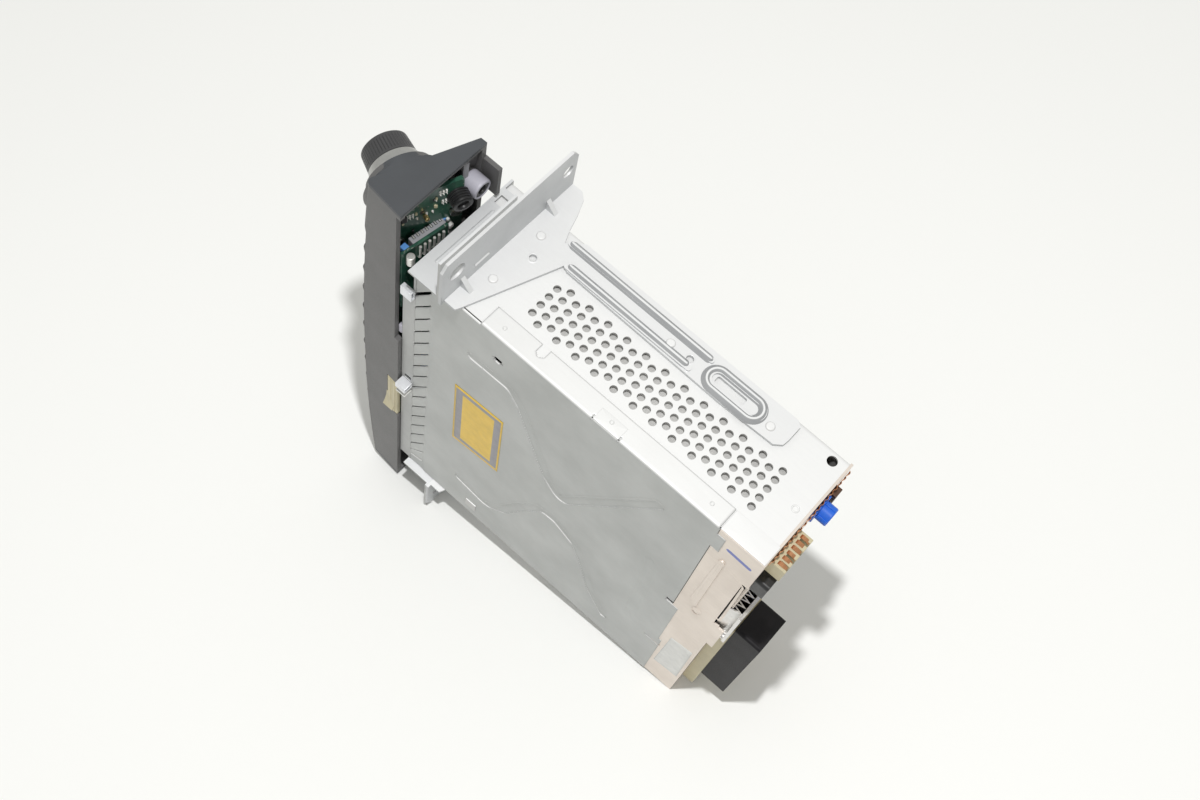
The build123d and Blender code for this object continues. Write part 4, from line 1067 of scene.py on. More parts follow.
@dataclass
class CoverSheet:
    """The labelled cover: pressed cross, spring fingers, folded edges and labels."""

    face_x: float = 30.05
    thick: float = 0.8
    fold: float = 1.1
    y_span: Spot = (-68.0, 74.2)
    z_span: Spot = (27.7, 207.3)
    flange_x: float = 20.8
    flange_y: Spot = (-37.6, 69.4)
    pitch: float = 0.62
    finger_top: float = 198.2
    finger_pitch: float = 10.0
    finger_count: int = 17
    finger_y: float = -60.7
    finger_lean: float = 1.4
    slit: float = 1.2
    bead_width: float = 4.9
    bead_depth: float = 0.5
    upper_bead: tuple[Spot, ...] = ((-42, 177.5), (-21, 178.5), (-14.4, 169.8), (-2, 142.1),
                                    (3.5, 130.9), (11, 122.5), (30.0, 156.0), (48.8, 189.5))
    lower_bead: tuple[Spot, ...] = ((-41.5, 57.2), (-23, 53.5), (-14.0, 63.0), (-5.0, 84.0),
                                    (3.4, 98.7), (11.4, 99.9), (23.4, 92.7), (31.4, 76.5),
                                    (37, 60.2), (47.8, 44.2))
    short_bead: tuple[Spot, ...] = ((56, 72.5), (56, 124.5), (54, 138.5))
    label: tuple[Spot, ...] = ((-45.9, 145.0), (-21.2, 147.2), (-20.0, 98.2), (-44.8, 94.6))
    notches: tuple[float, ...] = (-43.4, -38.3, 13.2, 24.8)
    notch_half: float = 0.35
    step_width: float = 1.8
    sunk_depth: float = 0.35
    slot_at: Spot = (-28.2, 191.4)
    slot_half: float = 0.4
    slot_radius: float = 1.85
    slot_lines: Spot = (-30.7, -25.9)
    bite_at: Spot = (23.6, -15.2)
    bite_radius: float = 1.9
    bite_x: float = 25.6
    rear_tab: Spot = (190.5, 202.5)
    rear_tab_y: float = 73.5
    rear_steps: tuple[Spot, ...] = ((117.5, 69.8), (73.5, 72.7))
    rear_slits: tuple[Spot, ...] = ((117.5, 120.6), (66.0, 67.2))
    rear_slit_y: float = 66.5
    lap_box: Box = ((24.2, 13.3, 207.0), (29.6, 24.7, 207.46))
    stop_box: Box = ((29.5, -33.5, 35.2), (30.55, -27.6, 41.5))
    corner_box: Box = ((20.6, 69.8, 206.3), (29.5, 88.7, 206.78))
    fold_marks: tuple[Spot, ...] = ((25.5, -30.4), (26.3, 19.1), (25.0, 62.3))

    def build(self) -> None:
        """Builds the sheet, its marks and its label."""
        self._sheet()
        self._grooves()
        self._marks()
        self._label()

    def _gap(self, k: int) -> float:
        """Half the width of one slit; the first is wider."""
        return self.slit * (0.85 if k == 0 else 0.5)

    def _profile(self) -> tuple[Array, Array, Array]:
        """Folded section: x, z and whether the point lies on the broad face."""
        low, high = self.z_span
        slits = [self.finger_top - self.finger_pitch * k + side * self._gap(k)
                 for k in range(self.finger_count) for side in (-1, 1)]
        marks = [*slits, *self.rear_tab, *np.ravel(self.rear_slits), *(z for z, _ in self.rear_steps)]
        z = lines(low + self.fold, high - self.fold, self.pitch, marks)
        turn = np.linspace(0, np.pi / 2, 6)[1:]
        reach = np.linspace(self.flange_x, self.face_x - self.fold, 18)
        x_low = np.concatenate([reach, self.face_x - self.fold + self.fold * np.sin(turn)])
        z_low = np.concatenate([np.full(18, low), low + self.fold - self.fold * np.cos(turn)])
        x = np.concatenate([x_low[:-1], np.full(len(z), self.face_x), x_low[:-1][::-1]])
        zs = np.concatenate([z_low[:-1], z, high + low - z_low[:-1][::-1]])
        face = np.zeros(len(x), bool)
        face[len(x_low) - 1:len(x_low) - 1 + len(z)] = True
        return x, zs, face

    def _relief(self, y: Array, z: Array) -> Array:
        """Height of the pressed face over its plane at every (y, z).

        The fingers sit a step lower. Across one finger, with f from 0 at a slit to 1 at the
        next, the height is 0.5 * ease((f - 0.05) / 0.12) - 0.3 * f: a lip that catches the light.
        """
        sunk = self.sunk_depth * ease((2.6 - path_distance(y, z, self.short_bead)) / 1.2)
        step = ease((self.finger_y + self.step_width - y) / self.step_width)
        share = np.mod((self.finger_top - z) / self.finger_pitch, 1.0)
        lip = (0.5 * ease((share - 0.05) / 0.12) - 0.3 * share) * ease((self.finger_y + 0.2 - y) / 1.2)
        inside = (z > 36.0) & (z < 199.0)
        return np.where(inside, lip, 0.0) - sunk - 0.4 * step

    def _trimmed(self, path: Sequence[Spot]) -> Array:
        """The path with both ends drawn in by half the groove's width."""
        spots = np.asarray(path, float)
        for end, near in ((0, 1), (-1, -2)):
            way = spots[near] - spots[end]
            spots[end] = spots[end] + way / np.linalg.norm(way) * self.bead_width / 2
        return spots

    def _shear(self, y: Array, z: Array) -> Array:
        """Drop of the slanting fingers: lean times the way past the step, fading at both ends."""
        low, high = self.z_span
        fade = ease((z - low - 1.2) / 30.0) * ease((high - 1.2 - z) / 7.0)
        return self.finger_lean * np.clip(self.finger_y - y, 0.0, None) * fade

    def _sheet(self) -> None:
        """Builds the folded sheet itself."""
        x, z, face = self._profile()
        bite = (self.bite_at[1] - self.bite_radius, self.bite_at[1] + self.bite_radius)
        y = lines(*self.y_span, self.pitch,
                  [self.finger_y, *self.flange_y, *self.slot_lines, self.rear_slit_y, self.rear_tab_y,
                   *(edge for _, edge in self.rear_steps), *bite,
                   *(n + side * self.notch_half for n in self.notches for side in (-1, 1))])
        yy, zz = np.meshgrid(y, z, indexing="ij")
        xx = np.broadcast_to(x, yy.shape).copy()
        xx += np.where(face, self._relief(yy, zz), 0.0)
        points = np.stack([xx, yy, zz - np.where(face, self._shear(yy, zz), 0.0)], -1)
        sheet = grid_mesh("cover_sheet", points, keep=self._kept(points, zz, face))
        shell = sheet.modifiers.new("thickness", "SOLIDIFY")
        shell.thickness = self.thick * MM
        shell.offset = -1.0
        shell.use_rim_only = True
        smooth(sheet, 38.0)
        settle(paint(sheet, Finish.COVER), "unit", "cover_sheet", "label_cover")

    def _kept(self, points: Array, zz: Array, face: Array) -> Array:
        """Cells of the sheet that stay once its slits, holes, grooves and edges are cut.

        Args:
            points: Grid of the sheet, with the fingers' slant.
            zz: Heights of the grid before the slant.
            face: Whether each column lies on the broad face.

        Returns:
            A boolean array of the cells.
        """
        middle = (points[:-1, :-1] + points[1:, :-1] + points[:-1, 1:] + points[1:, 1:]) / 4
        mx, my = middle[..., 0], middle[..., 1]
        mz = (zz[:-1, :-1] + zz[:-1, 1:]) / 2
        flat = (face[:-1] & face[1:])[None, :]
        keep = np.ones(my.shape, bool)
        row = (self.finger_top - mz) / self.finger_pitch
        index = np.round(row)
        gap = np.where(index == 0, self._gap(0), self._gap(1))
        in_slit = np.abs(row - index) * self.finger_pitch < gap
        keep &= ~(flat & (my < self.finger_y) & in_slit & (index >= 0) & (index < self.finger_count))
        off = np.maximum(np.abs(my - self.slot_at[0]) - self.slot_half, 0.0)
        keep &= ~(flat & (np.hypot(off, mz - self.slot_at[1]) < self.slot_radius))
        half = self.bead_width / 2
        for path in (self.upper_bead, self.lower_bead):
            away = path_distance(my, mz, rounded(self._trimmed(path), 6.0, 6))
            keep &= ~(flat & (away < half - 0.1))
        (upper, upper_y), (lower, lower_y) = self.rear_steps
        rear = np.where(mz > upper, upper_y, np.where(mz > lower, lower_y, self.y_span[1]))
        rear = np.where((mz > self.rear_tab[0]) & (mz < self.rear_tab[1]), self.rear_tab_y, rear)
        keep &= my < rear
        for low, high in self.rear_slits:
            keep &= ~(flat & (my > self.rear_slit_y) & (mz > low) & (mz < high))
        keep &= flat | ((my > self.flange_y[0]) & (my < self.flange_y[1]))
        fold = (mx > self.face_x - self.fold - 0.9) & ~flat
        near = np.min([np.abs(my - n) for n in self.notches], axis=0)
        keep &= ~(fold & (near < self.notch_half))
        bite_x, bite_y = self.bite_at
        bite = np.hypot(my - bite_y, np.maximum(mx - bite_x, 0.0)) < self.bite_radius
        return keep & ~(bite & (mx < self.bite_x) & (mz > MIDDLE_Z))

    def _grooves(self) -> None:
        """Presses the two bent grooves of the cross."""
        made = [channel(f"groove_{k}", [tuple(spot) for spot in self._trimmed(path)], self.face_x,
                        self.bead_width / 2, self.bead_depth, on_cover)
                for k, path in enumerate((self.upper_bead, self.lower_bead))]
        for piece in made:
            paint(piece, Finish.COVER)
        settle(join("cover_grooves", made), "unit", "cover_sheet")

    def _marks(self) -> None:
        """Adds the lapped tab, the stop tab, the lap at the corner and the marks on the fold."""
        top = self.z_span[1]
        lapped = (0.0, self.lap_box[1][2] - top, 0.0)
        tab = brick("fold_tab", *self.lap_box, 0.5)
        marks = [dimple(f"fold_mark_{k}", (x, y, top + lift), Z_AXIS, 0.9, 0.25)
                 for k, ((x, y), lift) in enumerate(zip(self.fold_marks, lapped))]
        settle(paint(tab, Finish.COVER), "unit", "cover_sheet")
        for mark in marks:
            paint(mark, Finish.COVER)
        settle(join("fold_marks", marks), "unit", "cover_sheet")
        small = brick("stop_tab", *self.stop_box, 0.35)
        settle(paint(small, Finish.ZINC), "unit", "cover_sheet")
        corner = brick("corner_lap", *self.corner_box, 0.2)
        settle(paint(corner, Finish.ZINC), "unit", "cover_sheet")

    def _label(self) -> None:
        """Sticks on the yellow label, bare of words."""
        x = self.face_x + 0.09
        piece = sticker("yellow_label", [(x, y, z) for y, z in self.label])
        settle(paint(piece, Finish.YELLOW), "unit", "cover_sheet")


@dataclass
class SheetBody:
    """Vented wrap, rear plate and front frame: rounded copies with pressed marks."""

    wall_z: float = 206.5
    vent_shade_box: Box = ((-3.1, -45.8, 203.3), (16.7, 77.8, 203.72))
    dimple_at: Spot = (6.5, 83.9)
    rear_ridge: tuple[Spot, ...] = ((76.0, 184.0), (74.9, 137.3))
    rear_step: tuple[Spot, ...] = ((78.9, 183.4), (87.4, 179.9), (88.0, 139.0), (80.0, 134.5))
    dome_at: Spot = (78.6, 129.4)
    paper: tuple[Spot, ...] = ((75.7, 47.0), (87.9, 49.6), (87.4, 88.0), (76.8, 85.4))
    rear_x: float = 29.8
    pen: tuple[Spot, ...] = ((75.2, 197.0), (86.2, 196.4))
    strip_bead: tuple[Spot, ...] = ((-6.0, -64.5), (24.0, -64.5))
    strip_z: float = 208.0

    def build(self) -> None:
        """Builds every sheet of the body."""
        self._wrap()
        self._rear()
        self._frame()

    def _wrap(self) -> None:
        """The vented wrap with its lipped holes, a grey plate of painted shade behind them and a pressed
        mark.
        """
        rework("chassis_tray", 0.1, Finish.ZINC, "zinc_sheet", "vented_body")
        # Painted shade: a grey plate over the inner sheet darkens the view into the vents.
        vent_shade = brick("vent_painted_shade_plate", *self.vent_shade_box, 0.05)
        settle(paint(vent_shade, Finish.LINING), "unit", "zinc_sheet")
        mark = dimple("body_mark", (*self.dimple_at, self.wall_z), Z_AXIS, 1.6, 0.35)
        settle(paint(mark, Finish.ZINC), "unit", "zinc_sheet")

    def _rear(self) -> None:
        """The bare zinc rear plate, its bead, dome, sticker and pen stroke."""
        rework("rear_plate", 0.12, Finish.BARE, "bare_zinc", "rear_panel")
        x = self.rear_x
        bead = ridge("rear_bead", self.rear_ridge, x, 2.6, 0.75, on_cover, flat=0.2)
        step = ridge("rear_step", self.rear_step, x, 1.0, 0.16, on_cover, flat=0.1, corner=1.5)
        marks = [bead, step, dimple("rear_dome", (x, *self.dome_at), X_AXIS, 1.9, 0.9)]
        for mark in marks:
            paint(mark, Finish.BARE)
        settle(join("rear_pressings", marks), "unit", "bare_zinc")
        paper = sticker("white_sticker", [(x + 0.08, y, z) for y, z in self.paper])
        settle(paint(paper, Finish.PAPER), "unit", "bare_zinc")
        stroke = ridge("pen_stroke", self.pen, x + 0.03, 2.1, 0.03, on_cover, flat=0.6)
        settle(paint(stroke, Finish.INK), "unit", "bare_zinc")

    def _frame(self) -> None:
        """The front frame, and a small bead along each of its folded strips."""
        rework("front_frame", 0.22, Finish.FRAME, "zinc_sheet", "front_frame_sheet")
        strips = [paint(ridge(f"strip_{side}", self.strip_bead, self.strip_z, 1.8, 0.3, place, flat=0.2),
                        Finish.FRAME)
                  for place, side in ((on_upper, "upper"), (on_lower, "lower"))]
        settle(join("strip_beads", strips), "unit", "zinc_sheet")


@dataclass
class Brackets:
    """The two side brackets: ears, long arms, beads, lanced ovals and rivets."""

    top: float = 208.0
    ear_y: float = -52.2
    beads: tuple[tuple[Spot, ...], ...] = (((-7.9, -31.0), (-7.8, 24.5)), ((-15.4, -36.5), (-15.3, 29.5)))
    oval: tuple[float, float, float, float] = (-11.0, 42.9, 8.2, 23.5)
    ear_bead: tuple[Spot, ...] = ((10.4, 213.6), (17.9, 213.6))
    lips: tuple[Spot, ...] = ((-1.5, -41.9), (-10.5, 23.2))

    def build(self) -> None:
        """Builds both brackets and their rivets."""
        for side, node, place in (("upper", "upper_bracket", on_upper),
                                  ("lower", "lower_bracket", on_lower)):
            rework(node, 0.3, Finish.BRACKET, "zinc_sheet", f"{side}_bracket_plate")
            self._pressings(side, place)
        rework("bracket_rivets", 0.25, Finish.ZINC, "screw_steel", "rivet_heads")

    def _pressings(self, side: str, place: Callable[[Array, Array, Array], Array]) -> None:
        """Beads, the oval ring round the lanced opening, the ear's small bead and two hole lips."""
        # The bead finish paints shade on the steep slopes and a highlight on the near-flat crests.
        made = [paint(ridge(f"{side}_bead_{k}", path, self.top, 3.7, 1.6, place, flat=0.24,
                            straight=True), Finish.BEAD)
                for k, path in enumerate(self.beads)]
        x, y, width, length = self.oval
        turn = np.linspace(0, 2 * np.pi, 49)[:-1]
        half, run = width / 2, (length - width) / 2
        loop = [(x + half * math.cos(t), y + half * math.sin(t) + (run if math.sin(t) >= 0 else -run))
                for t in turn]
        made.append(paint(ridge(f"{side}_oval", loop, self.top, 3.7, 1.5, place, flat=0.22, closed=True,
                                corner=0.3, straight=True), Finish.BEAD))
        flip = 1 if side == "upper" else -1
        ear = [(a, MIDDLE_Z + flip * (b - MIDDLE_Z)) for a, b in self.ear_bead]
        made.append(ridge(f"{side}_ear_bead", ear, self.ear_y, 2.2, 0.6, on_ear, flat=0.2))
        lip = [(1.4, -0.9), (1.42, 0.02), (1.6, 0.16), (2.1, 0.0)]
        for x, y in self.lips:
            spot = place(np.array(x), np.array(y), np.array(self.top))
            made.append(lathe(f"{side}_lip_{y:.0f}", lip, spot, Z_AXIS * flip, 32))
        for piece in made:
            if not piece.data.materials:
                paint(piece, Finish.BRACKET)
        settle(join(f"{side}_pressings", made), "unit", "zinc_sheet")


@dataclass
class Knob:
    """The turning knob: knurled cap on a stem, with a bright ring at its foot."""

    name: str
    ring: str
    body: str
    at: Spot
    ribs: int = 48
    depth: float = 0.24
    cap_radius: Spot = (9.3, 8.8)
    cap_span: Spot = (4.6, 12.8)
    ring_radius: Spot = (10.5, 9.4)
    ring_span: Spot = (0.1, 4.6)
    collar_radius: float = 12.5
    collar_reach: Spot = (29.3, 234.8)
    stem: Spot = (-9.7, 3.0)

    def build(self) -> None:
        """Builds the cap, its stem, the ring and the collar round them."""
        origin = face_point(*self.at)
        self._cap(origin)
        self._ring(origin)
        self._collar(origin)

    def _cap(self, origin: Array) -> None:
        """The knurled cap: radius(h) less depth * max(cos(ribs * t), 0)^3 between its rims."""
        (r0, r1), (low, high) = self.cap_radius, self.cap_span
        share = np.linspace(0, 1, 26)
        wall = np.stack([r0 + (r1 - r0) * share, low + 0.1 + (high - low - 1.1) * share], -1)
        crown = rounded([(r1, high - 0.95), (r1 - 0.12, high - 0.5), (r1 - 0.75, high), (7.4, high),
                         (7.0, high - 0.45), (3.5, high - 0.5), (0.0, high - 0.5)], 0.35, 4)
        rh = np.vstack([[(0.0, low), (r0 - 0.3, low)], wall, crown])
        turn = np.linspace(0, 2 * np.pi, self.ribs * 12, endpoint=False)
        groove = np.clip(np.cos(self.ribs * turn), 0, 1) ** 3
        span = ease((rh[:, 1] - low - 0.5) / 0.6) * ease((high - 1.0 - rh[:, 1]) / 0.6)
        radius = rh[None, :, 0] - self.depth * groove[:, None] * span[None, :]
        ring = np.cos(turn)[:, None] * Z_AXIS + np.sin(turn)[:, None] * FACE_UP
        points = origin + radius[..., None] * ring[:, None, :] + rh[None, :, 1:2] * FACE_NORMAL
        cap = recalc(grid_mesh(f"{self.name}_cap", points, wrap_u=True), 1e-7)
        smooth(cap, 50.0)
        paint(cap, Finish.KNOB)
        foot, r = self.stem
        stem = turned(f"{self.name}_stem", [(0.0, foot), (r, foot), (r, low), (0.0, low)],
                      origin, FACE_NORMAL, Finish.STEEL)
        settle(join(f"{self.name}_turning", [cap, stem]), self.body, "dark_plastic", self.name)

    def _ring(self, origin: Array) -> None:
        """The bright tapered ring under the cap."""
        (r0, r1), (low, high) = self.ring_radius, self.ring_span
        band = rounded([(3.2, low), (r0, low), (r0, low + 0.9), (r1, high - 0.1), (3.2, high - 0.05)],
                       0.3, 4)
        band.append(band[0])
        ring_part = turned(f"{self.ring}_band", band, origin, FACE_NORMAL, Finish.SILVER, 96, 35.0)
        settle(ring_part, self.body, "silver_ring", self.ring)

    def _collar(self, origin: Array) -> None:
        """The moulded collar: a hollow flare that runs out on the face, cut off at its edges."""
        r = self.collar_radius
        rh = np.asarray(rounded([(r + 2.7, -9.0), (r + 2.6, -3.6), (r + 1.1, -2.9), (r + 0.25, -1.9),
                                 (r, -0.1), (11.3, -0.05), (11.0, -1.2)], 0.5, 4))
        turn = np.linspace(0, 2 * np.pi, 97)[:-1]
        ring = np.cos(turn)[:, None] * Z_AXIS + np.sin(turn)[:, None] * FACE_UP
        points = origin + rh[None, :, 0:1] * ring[:, None, :] + rh[None, :, 1:2] * FACE_NORMAL
        points[..., [0, 2]] = np.minimum(points[..., [0, 2]], self.collar_reach)
        collar = smooth(grid_mesh("knob_collar", points, wrap_u=True), 40.0)
        settle(paint(collar, Finish.PANEL), "unit", "fascia")


@dataclass
class FrontPanel:
    """The face: bowed moulding, window, keys, flap, release tab and the knob."""

    knob: Knob = field(default_factory=lambda: Knob("volume_knob", "volume_ring", "volume",
                                                    (222.5, 16.5)))
    seam_box: Box = ((29.3, -95.8, 141.8), (29.46, -76.6, 142.2))
    nub_box: Box = ((27.6, -76.5, 146.6), (29.7, -74.6, 152.2))

    def build(self) -> None:
        """Builds every piece of the face."""
        rework("fascia_shell", 0.55, Finish.PANEL, "fascia", "face_moulding", angle=40)
        for node, width, kind, slot in (
            ("display_window", 0.2, Finish.WINDOW, "smoke_window"),
            ("display_module", 0.2, Finish.GLASS, "display_glass"),
            ("latch_tab", 0.25, Finish.CREAM, "cream_plastic"),
        ):
            rework(node, width, kind, slot, f"{node}_moulding")
        rework("slot_flap", 0.15, Finish.BLACK, "black_plastic", "slot_flap_blade", "flap")
        for key in (*(f"preset_key_{k}" for k in range(1, 7)), "side_key_1", "side_key_2", "eject_key"):
            rework(key, 0.35, Finish.KEY, "key_plastic", f"{key}_cap", key)
        self.knob.build()
        seam = brick("side_seam", *self.seam_box, 0.04)
        settle(paint(seam, Finish.BLACK), "unit", "fascia")
        nub = brick("side_nub", *self.nub_box, 0.5)
        settle(paint(nub, Finish.LILAC), "unit", "fascia")


@dataclass
class PanelBoard:
    """The board behind the face and what its open end shows."""

    card: tuple[Spot, Spot] = ((8.2, -73.0), (28.9, -75.85))
    card_z: Spot = (166.0, 205.0)
    card_thick: float = 1.2
    can_at: tuple[float, float, float] = (27.0, -73.4, 200.0)
    guide_at: Spot = (-4.2, -76.3)
    guide_z: Spot = (218.1, 16.9)
    bush_at: Spot = (218.0, 33.0)
    header_box: Box = ((106.2, 13.7, BOARD_REAR - 3.5), (129.8, 18.3, BOARD_REAR))
    band_box: Box = ((204.0, 36.0, -9.8), (230.5, 38.3, -7.6))

    def build(self) -> None:
        """Builds the board and the parts on it."""
        rework("fascia_board", 0.1, Finish.BOARD, "green_board", "panel_board")
        rework("key_mat", 0.1, Finish.GREY_RUBBER, "rubber_grey", "key_mat_rubber")
        rework("rotary_encoder", 0.2, Finish.STEEL, "screw_steel", "encoder_case")
        self._connectors()
        self._bushes()
        self._parts()

    def _connectors(self) -> None:
        """The upright card with its comb connector and pin row, the header and the cable."""
        start, end = (np.array([*spot, 0.0]) for spot in self.card)
        along = (end - start) / np.linalg.norm(end - start)
        flat = basis(start, along, Z_AXIS)
        reach = float(np.linalg.norm(end - start))
        low, top = self.card_z
        card = brick("upright_card", (0.0, low, 0.0), (reach, top, self.card_thick), 0.12, flat)
        made = [paint(card, Finish.BOARD)]
        front = self.card_thick
        comb = brick("comb_body", (0.2, top - 6.0, front), (15.0, top + 0.05, front + 2.9), 0.25, flat)
        made.append(paint(comb, Finish.GREY))
        for k in range(7):
            u = 1.0 + 1.95 * k
            # Painted shade: black slabs in the comb's mouth stand in for its shaded slots.
            slot = brick(f"comb_slot_shade_{k}", (u, top - 4.6, front + 1.3),
                         (u + 1.1, top + 0.09, front + 2.96), 0.06, flat)
            blade = brick(f"comb_blade_{k}", (u + 0.35, top - 4.4, front + 1.5),
                          (u + 0.75, top + 0.2, front + 2.9), 0.06, flat)
            made += [paint(slot, Finish.BLACK), paint(blade, Finish.TIN)]
        for k in range(6):
            u = 2.9 + 2.08 * k
            bends = np.array([(u, top - 8.6, 0.1), (u, top - 8.4, -0.5), (u, top - 7.6, -0.85),
                              (u, top - 1.4, -0.85), (u, top - 0.9, -0.85)])
            path = bends @ flat[:3, :3].T + flat[:3, 3]
            made.append(paint(tube(f"pin_{k}", path, 0.55, 12), Finish.TIN))
        for k, (kind, *spot, size) in enumerate((
            (Finish.CABLE, 25.7, -77.6, 203.7, 2.6), (Finish.CABLE, 7.0, -76.6, 203.6, 2.2),
            (Finish.WHITE, 5.6, -74.8, 199.6, 2.2), (Finish.WHITE, 6.6, -75.0, 204.4, 1.2),
        )):
            spot = np.array(spot)
            made.append(paint(brick(f"lead_{k}", spot - size / 2, spot + size / 2, 0.3), kind))
        can = rounded([(0.0, 0.0), (1.6, 0.0), (1.6, 5.0), (0.0, 5.0)], 0.35, 4)
        made.append(turned("silver_can", can, self.can_at, Z_AXIS, Finish.TIN))
        header = brick("rear_header", *self.header_box, 0.3, FACE_BASIS)
        made.append(paint(header, Finish.WHITE))
        settle(join("board_connector_set", made), "unit", "white_plastic", "board_connectors")
        rework("flat_cable", 0.05, Finish.CABLE, "blue_cable", "flat_cable_band")

    def _bushes(self) -> None:
        """The pale guide bushes and the ribbed black bush."""
        made = []
        x, y = self.guide_at
        for k, z in enumerate(self.guide_z):
            foot = np.array([x, y, z])
            skin = rounded([(3.35, 0.2), (4.1, 0.2), (4.3, 1.0), (4.3, 6.4), (4.05, 7.2),
                            (3.35, 7.3)], 0.3, 4)
            skin.append(skin[0])
            made.append(turned(f"bush_{k}", skin, foot, Y_AXIS, Finish.LILAC, 64))
            core = [(0.0, 2.6), (1.6, 2.6), (1.7, 2.9), (1.8, 6.6), (2.0, 6.9), (2.9, 7.0), (3.3, 6.8),
                    (3.34, 0.3), (0.0, 0.3)]
            made.append(turned(f"core_{k}", core, foot, Y_AXIS, Finish.BLACK, 48))
        settle(join("guide_bush_pair", made), "unit", "white_plastic", "guide_bushes")
        foot = face_point(*self.bush_at, BOARD_REAR)
        ribs = [(0.0, 0.05)]
        for k in range(4):
            h, r = 0.1 + 1.0 * k, 4.2 - 0.06 * k
            ribs += [(r, h), (r, h + 0.6), (r - 0.35, h + 0.7), (r - 0.35, h + 0.95)]
        ribs += [(3.9, 4.2), (3.8, 4.8), (3.3, 5.05), (2.5, 5.0), (2.2, 4.7), (2.0, 3.8), (0.0, 3.7)]
        bush = turned("ribbed_bush", ribs, foot, -FACE_NORMAL, Finish.BLACK, 64)
        settle(bush, "unit", "rubber_black", "rubber_bush")
        band = brick("edge_band", *self.band_box, 0.3, FACE_BASIS)
        settle(paint(band, Finish.GREY), "unit", "white_plastic")

    def _parts(self) -> None:
        """Small parts, solder points and screws on the board's rear."""
        w = BOARD_REAR
        made = []

        def add(kind: Finish, name: str, z: float, u: float, dz: float, du: float, high: float,
                edge: float = 0.12) -> None:
            low = (z - dz / 2, u - du / 2, w - high)
            made.append(paint(brick(name, low, (z + dz / 2, u + du / 2, w), edge, FACE_BASIS), kind))

        add(Finish.CHIP, "chip_a", 184.0, 24.5, 8.0, 8.0, 1.3)
        add(Finish.CHIP, "chip_b", 214.5, 12.5, 3.2, 2.2, 0.9)
        add(Finish.CHIP, "chip_c", 174.0, 15.0, 9.0, 6.0, 1.4)
        # Painted shade: thin black patches stand in for two shaded holes in the board.
        add(Finish.BLACK, "hole_shade_a", 214.2, 19.7, 2.0, 1.6, 0.05, 0.02)
        add(Finish.BLACK, "hole_shade_b", 219.5, 24.4, 1.6, 1.6, 0.05, 0.02)
        add(Finish.TIN, "shield_foot", 190.0, 31.6, 3.6, 1.6, 1.0)
        for k, (z, u, radius, high) in enumerate(((185.6, 13.2, 2.0, 4.0), (211.9, 20.7, 0.95, 2.4))):
            can = rounded([(0.0, 0.0), (radius, 0.0), (radius, high), (0.0, high)], 0.3, 4)
            made.append(turned(f"can_{k}", can, face_point(z, u, w), -FACE_NORMAL,
                               Finish.TIN if k == 0 else Finish.BRASS, 36))
        rng = np.random.default_rng(7)
        spots = [(z + 1.4 * i, u + 1.2 * j) for z, u in ((222.0, 26.2), (215.8, 27.4), (213.8, 13.6))
                 for i in range(2) for j in range(3)]
        spots += [(z, u) for z, u in zip(rng.uniform(170, 224, 34), rng.uniform(8, 34, 34))]
        dome = [(0.55, 0.0), (0.45, 0.2), (0.2, 0.55), (0.12, 0.9), (0.0, 0.95)]
        made += [turned(f"solder_{k}", dome, face_point(z, u, w + 0.02), -FACE_NORMAL, Finish.TIN, 12, 60)
                 for k, (z, u) in enumerate(spots)]
        for k in range(26):
            z, u = rng.uniform(168, 222), rng.uniform(9, 33)
            add(Finish.CHIP if k % 2 else Finish.CREAM, f"smd_{k}", z, u, 1.6, 0.8, 0.5, 0.08)
        settle(join("board_small_parts", made), "unit", "green_board")
        rework("small_screws", 0.2, Finish.STEEL, "screw_steel", "screw_heads")


@dataclass
class LatchClips:
    """Folded spring clips that hold the face on the frame, the foot of one and the tab's flare."""

    foot_box: Box = ((29.9, -73.4, 102.9), (34.1, -68.4, 103.6))

    def build(self) -> None:
        """Builds the clips, the foot and the flare."""
        rework("latch_clips", 0.18, Finish.CLIP, "spring_steel", "spring_clips")
        foot = brick("clip_foot", *self.foot_box, 0.2)
        settle(paint(foot, Finish.WHITE), "unit", "spring_steel")
        path = np.array([(30.9, -78.6, 86.0), (31.0, -78.7, 82.0), (31.6, -79.0, 78.0), (32.6, -79.3, 74.4)])
        flare = strip("tab_flare", path, Y_AXIS, 5.4, 0.7)
        settle(paint(flare, Finish.CREAM), "unit", "cream_plastic")


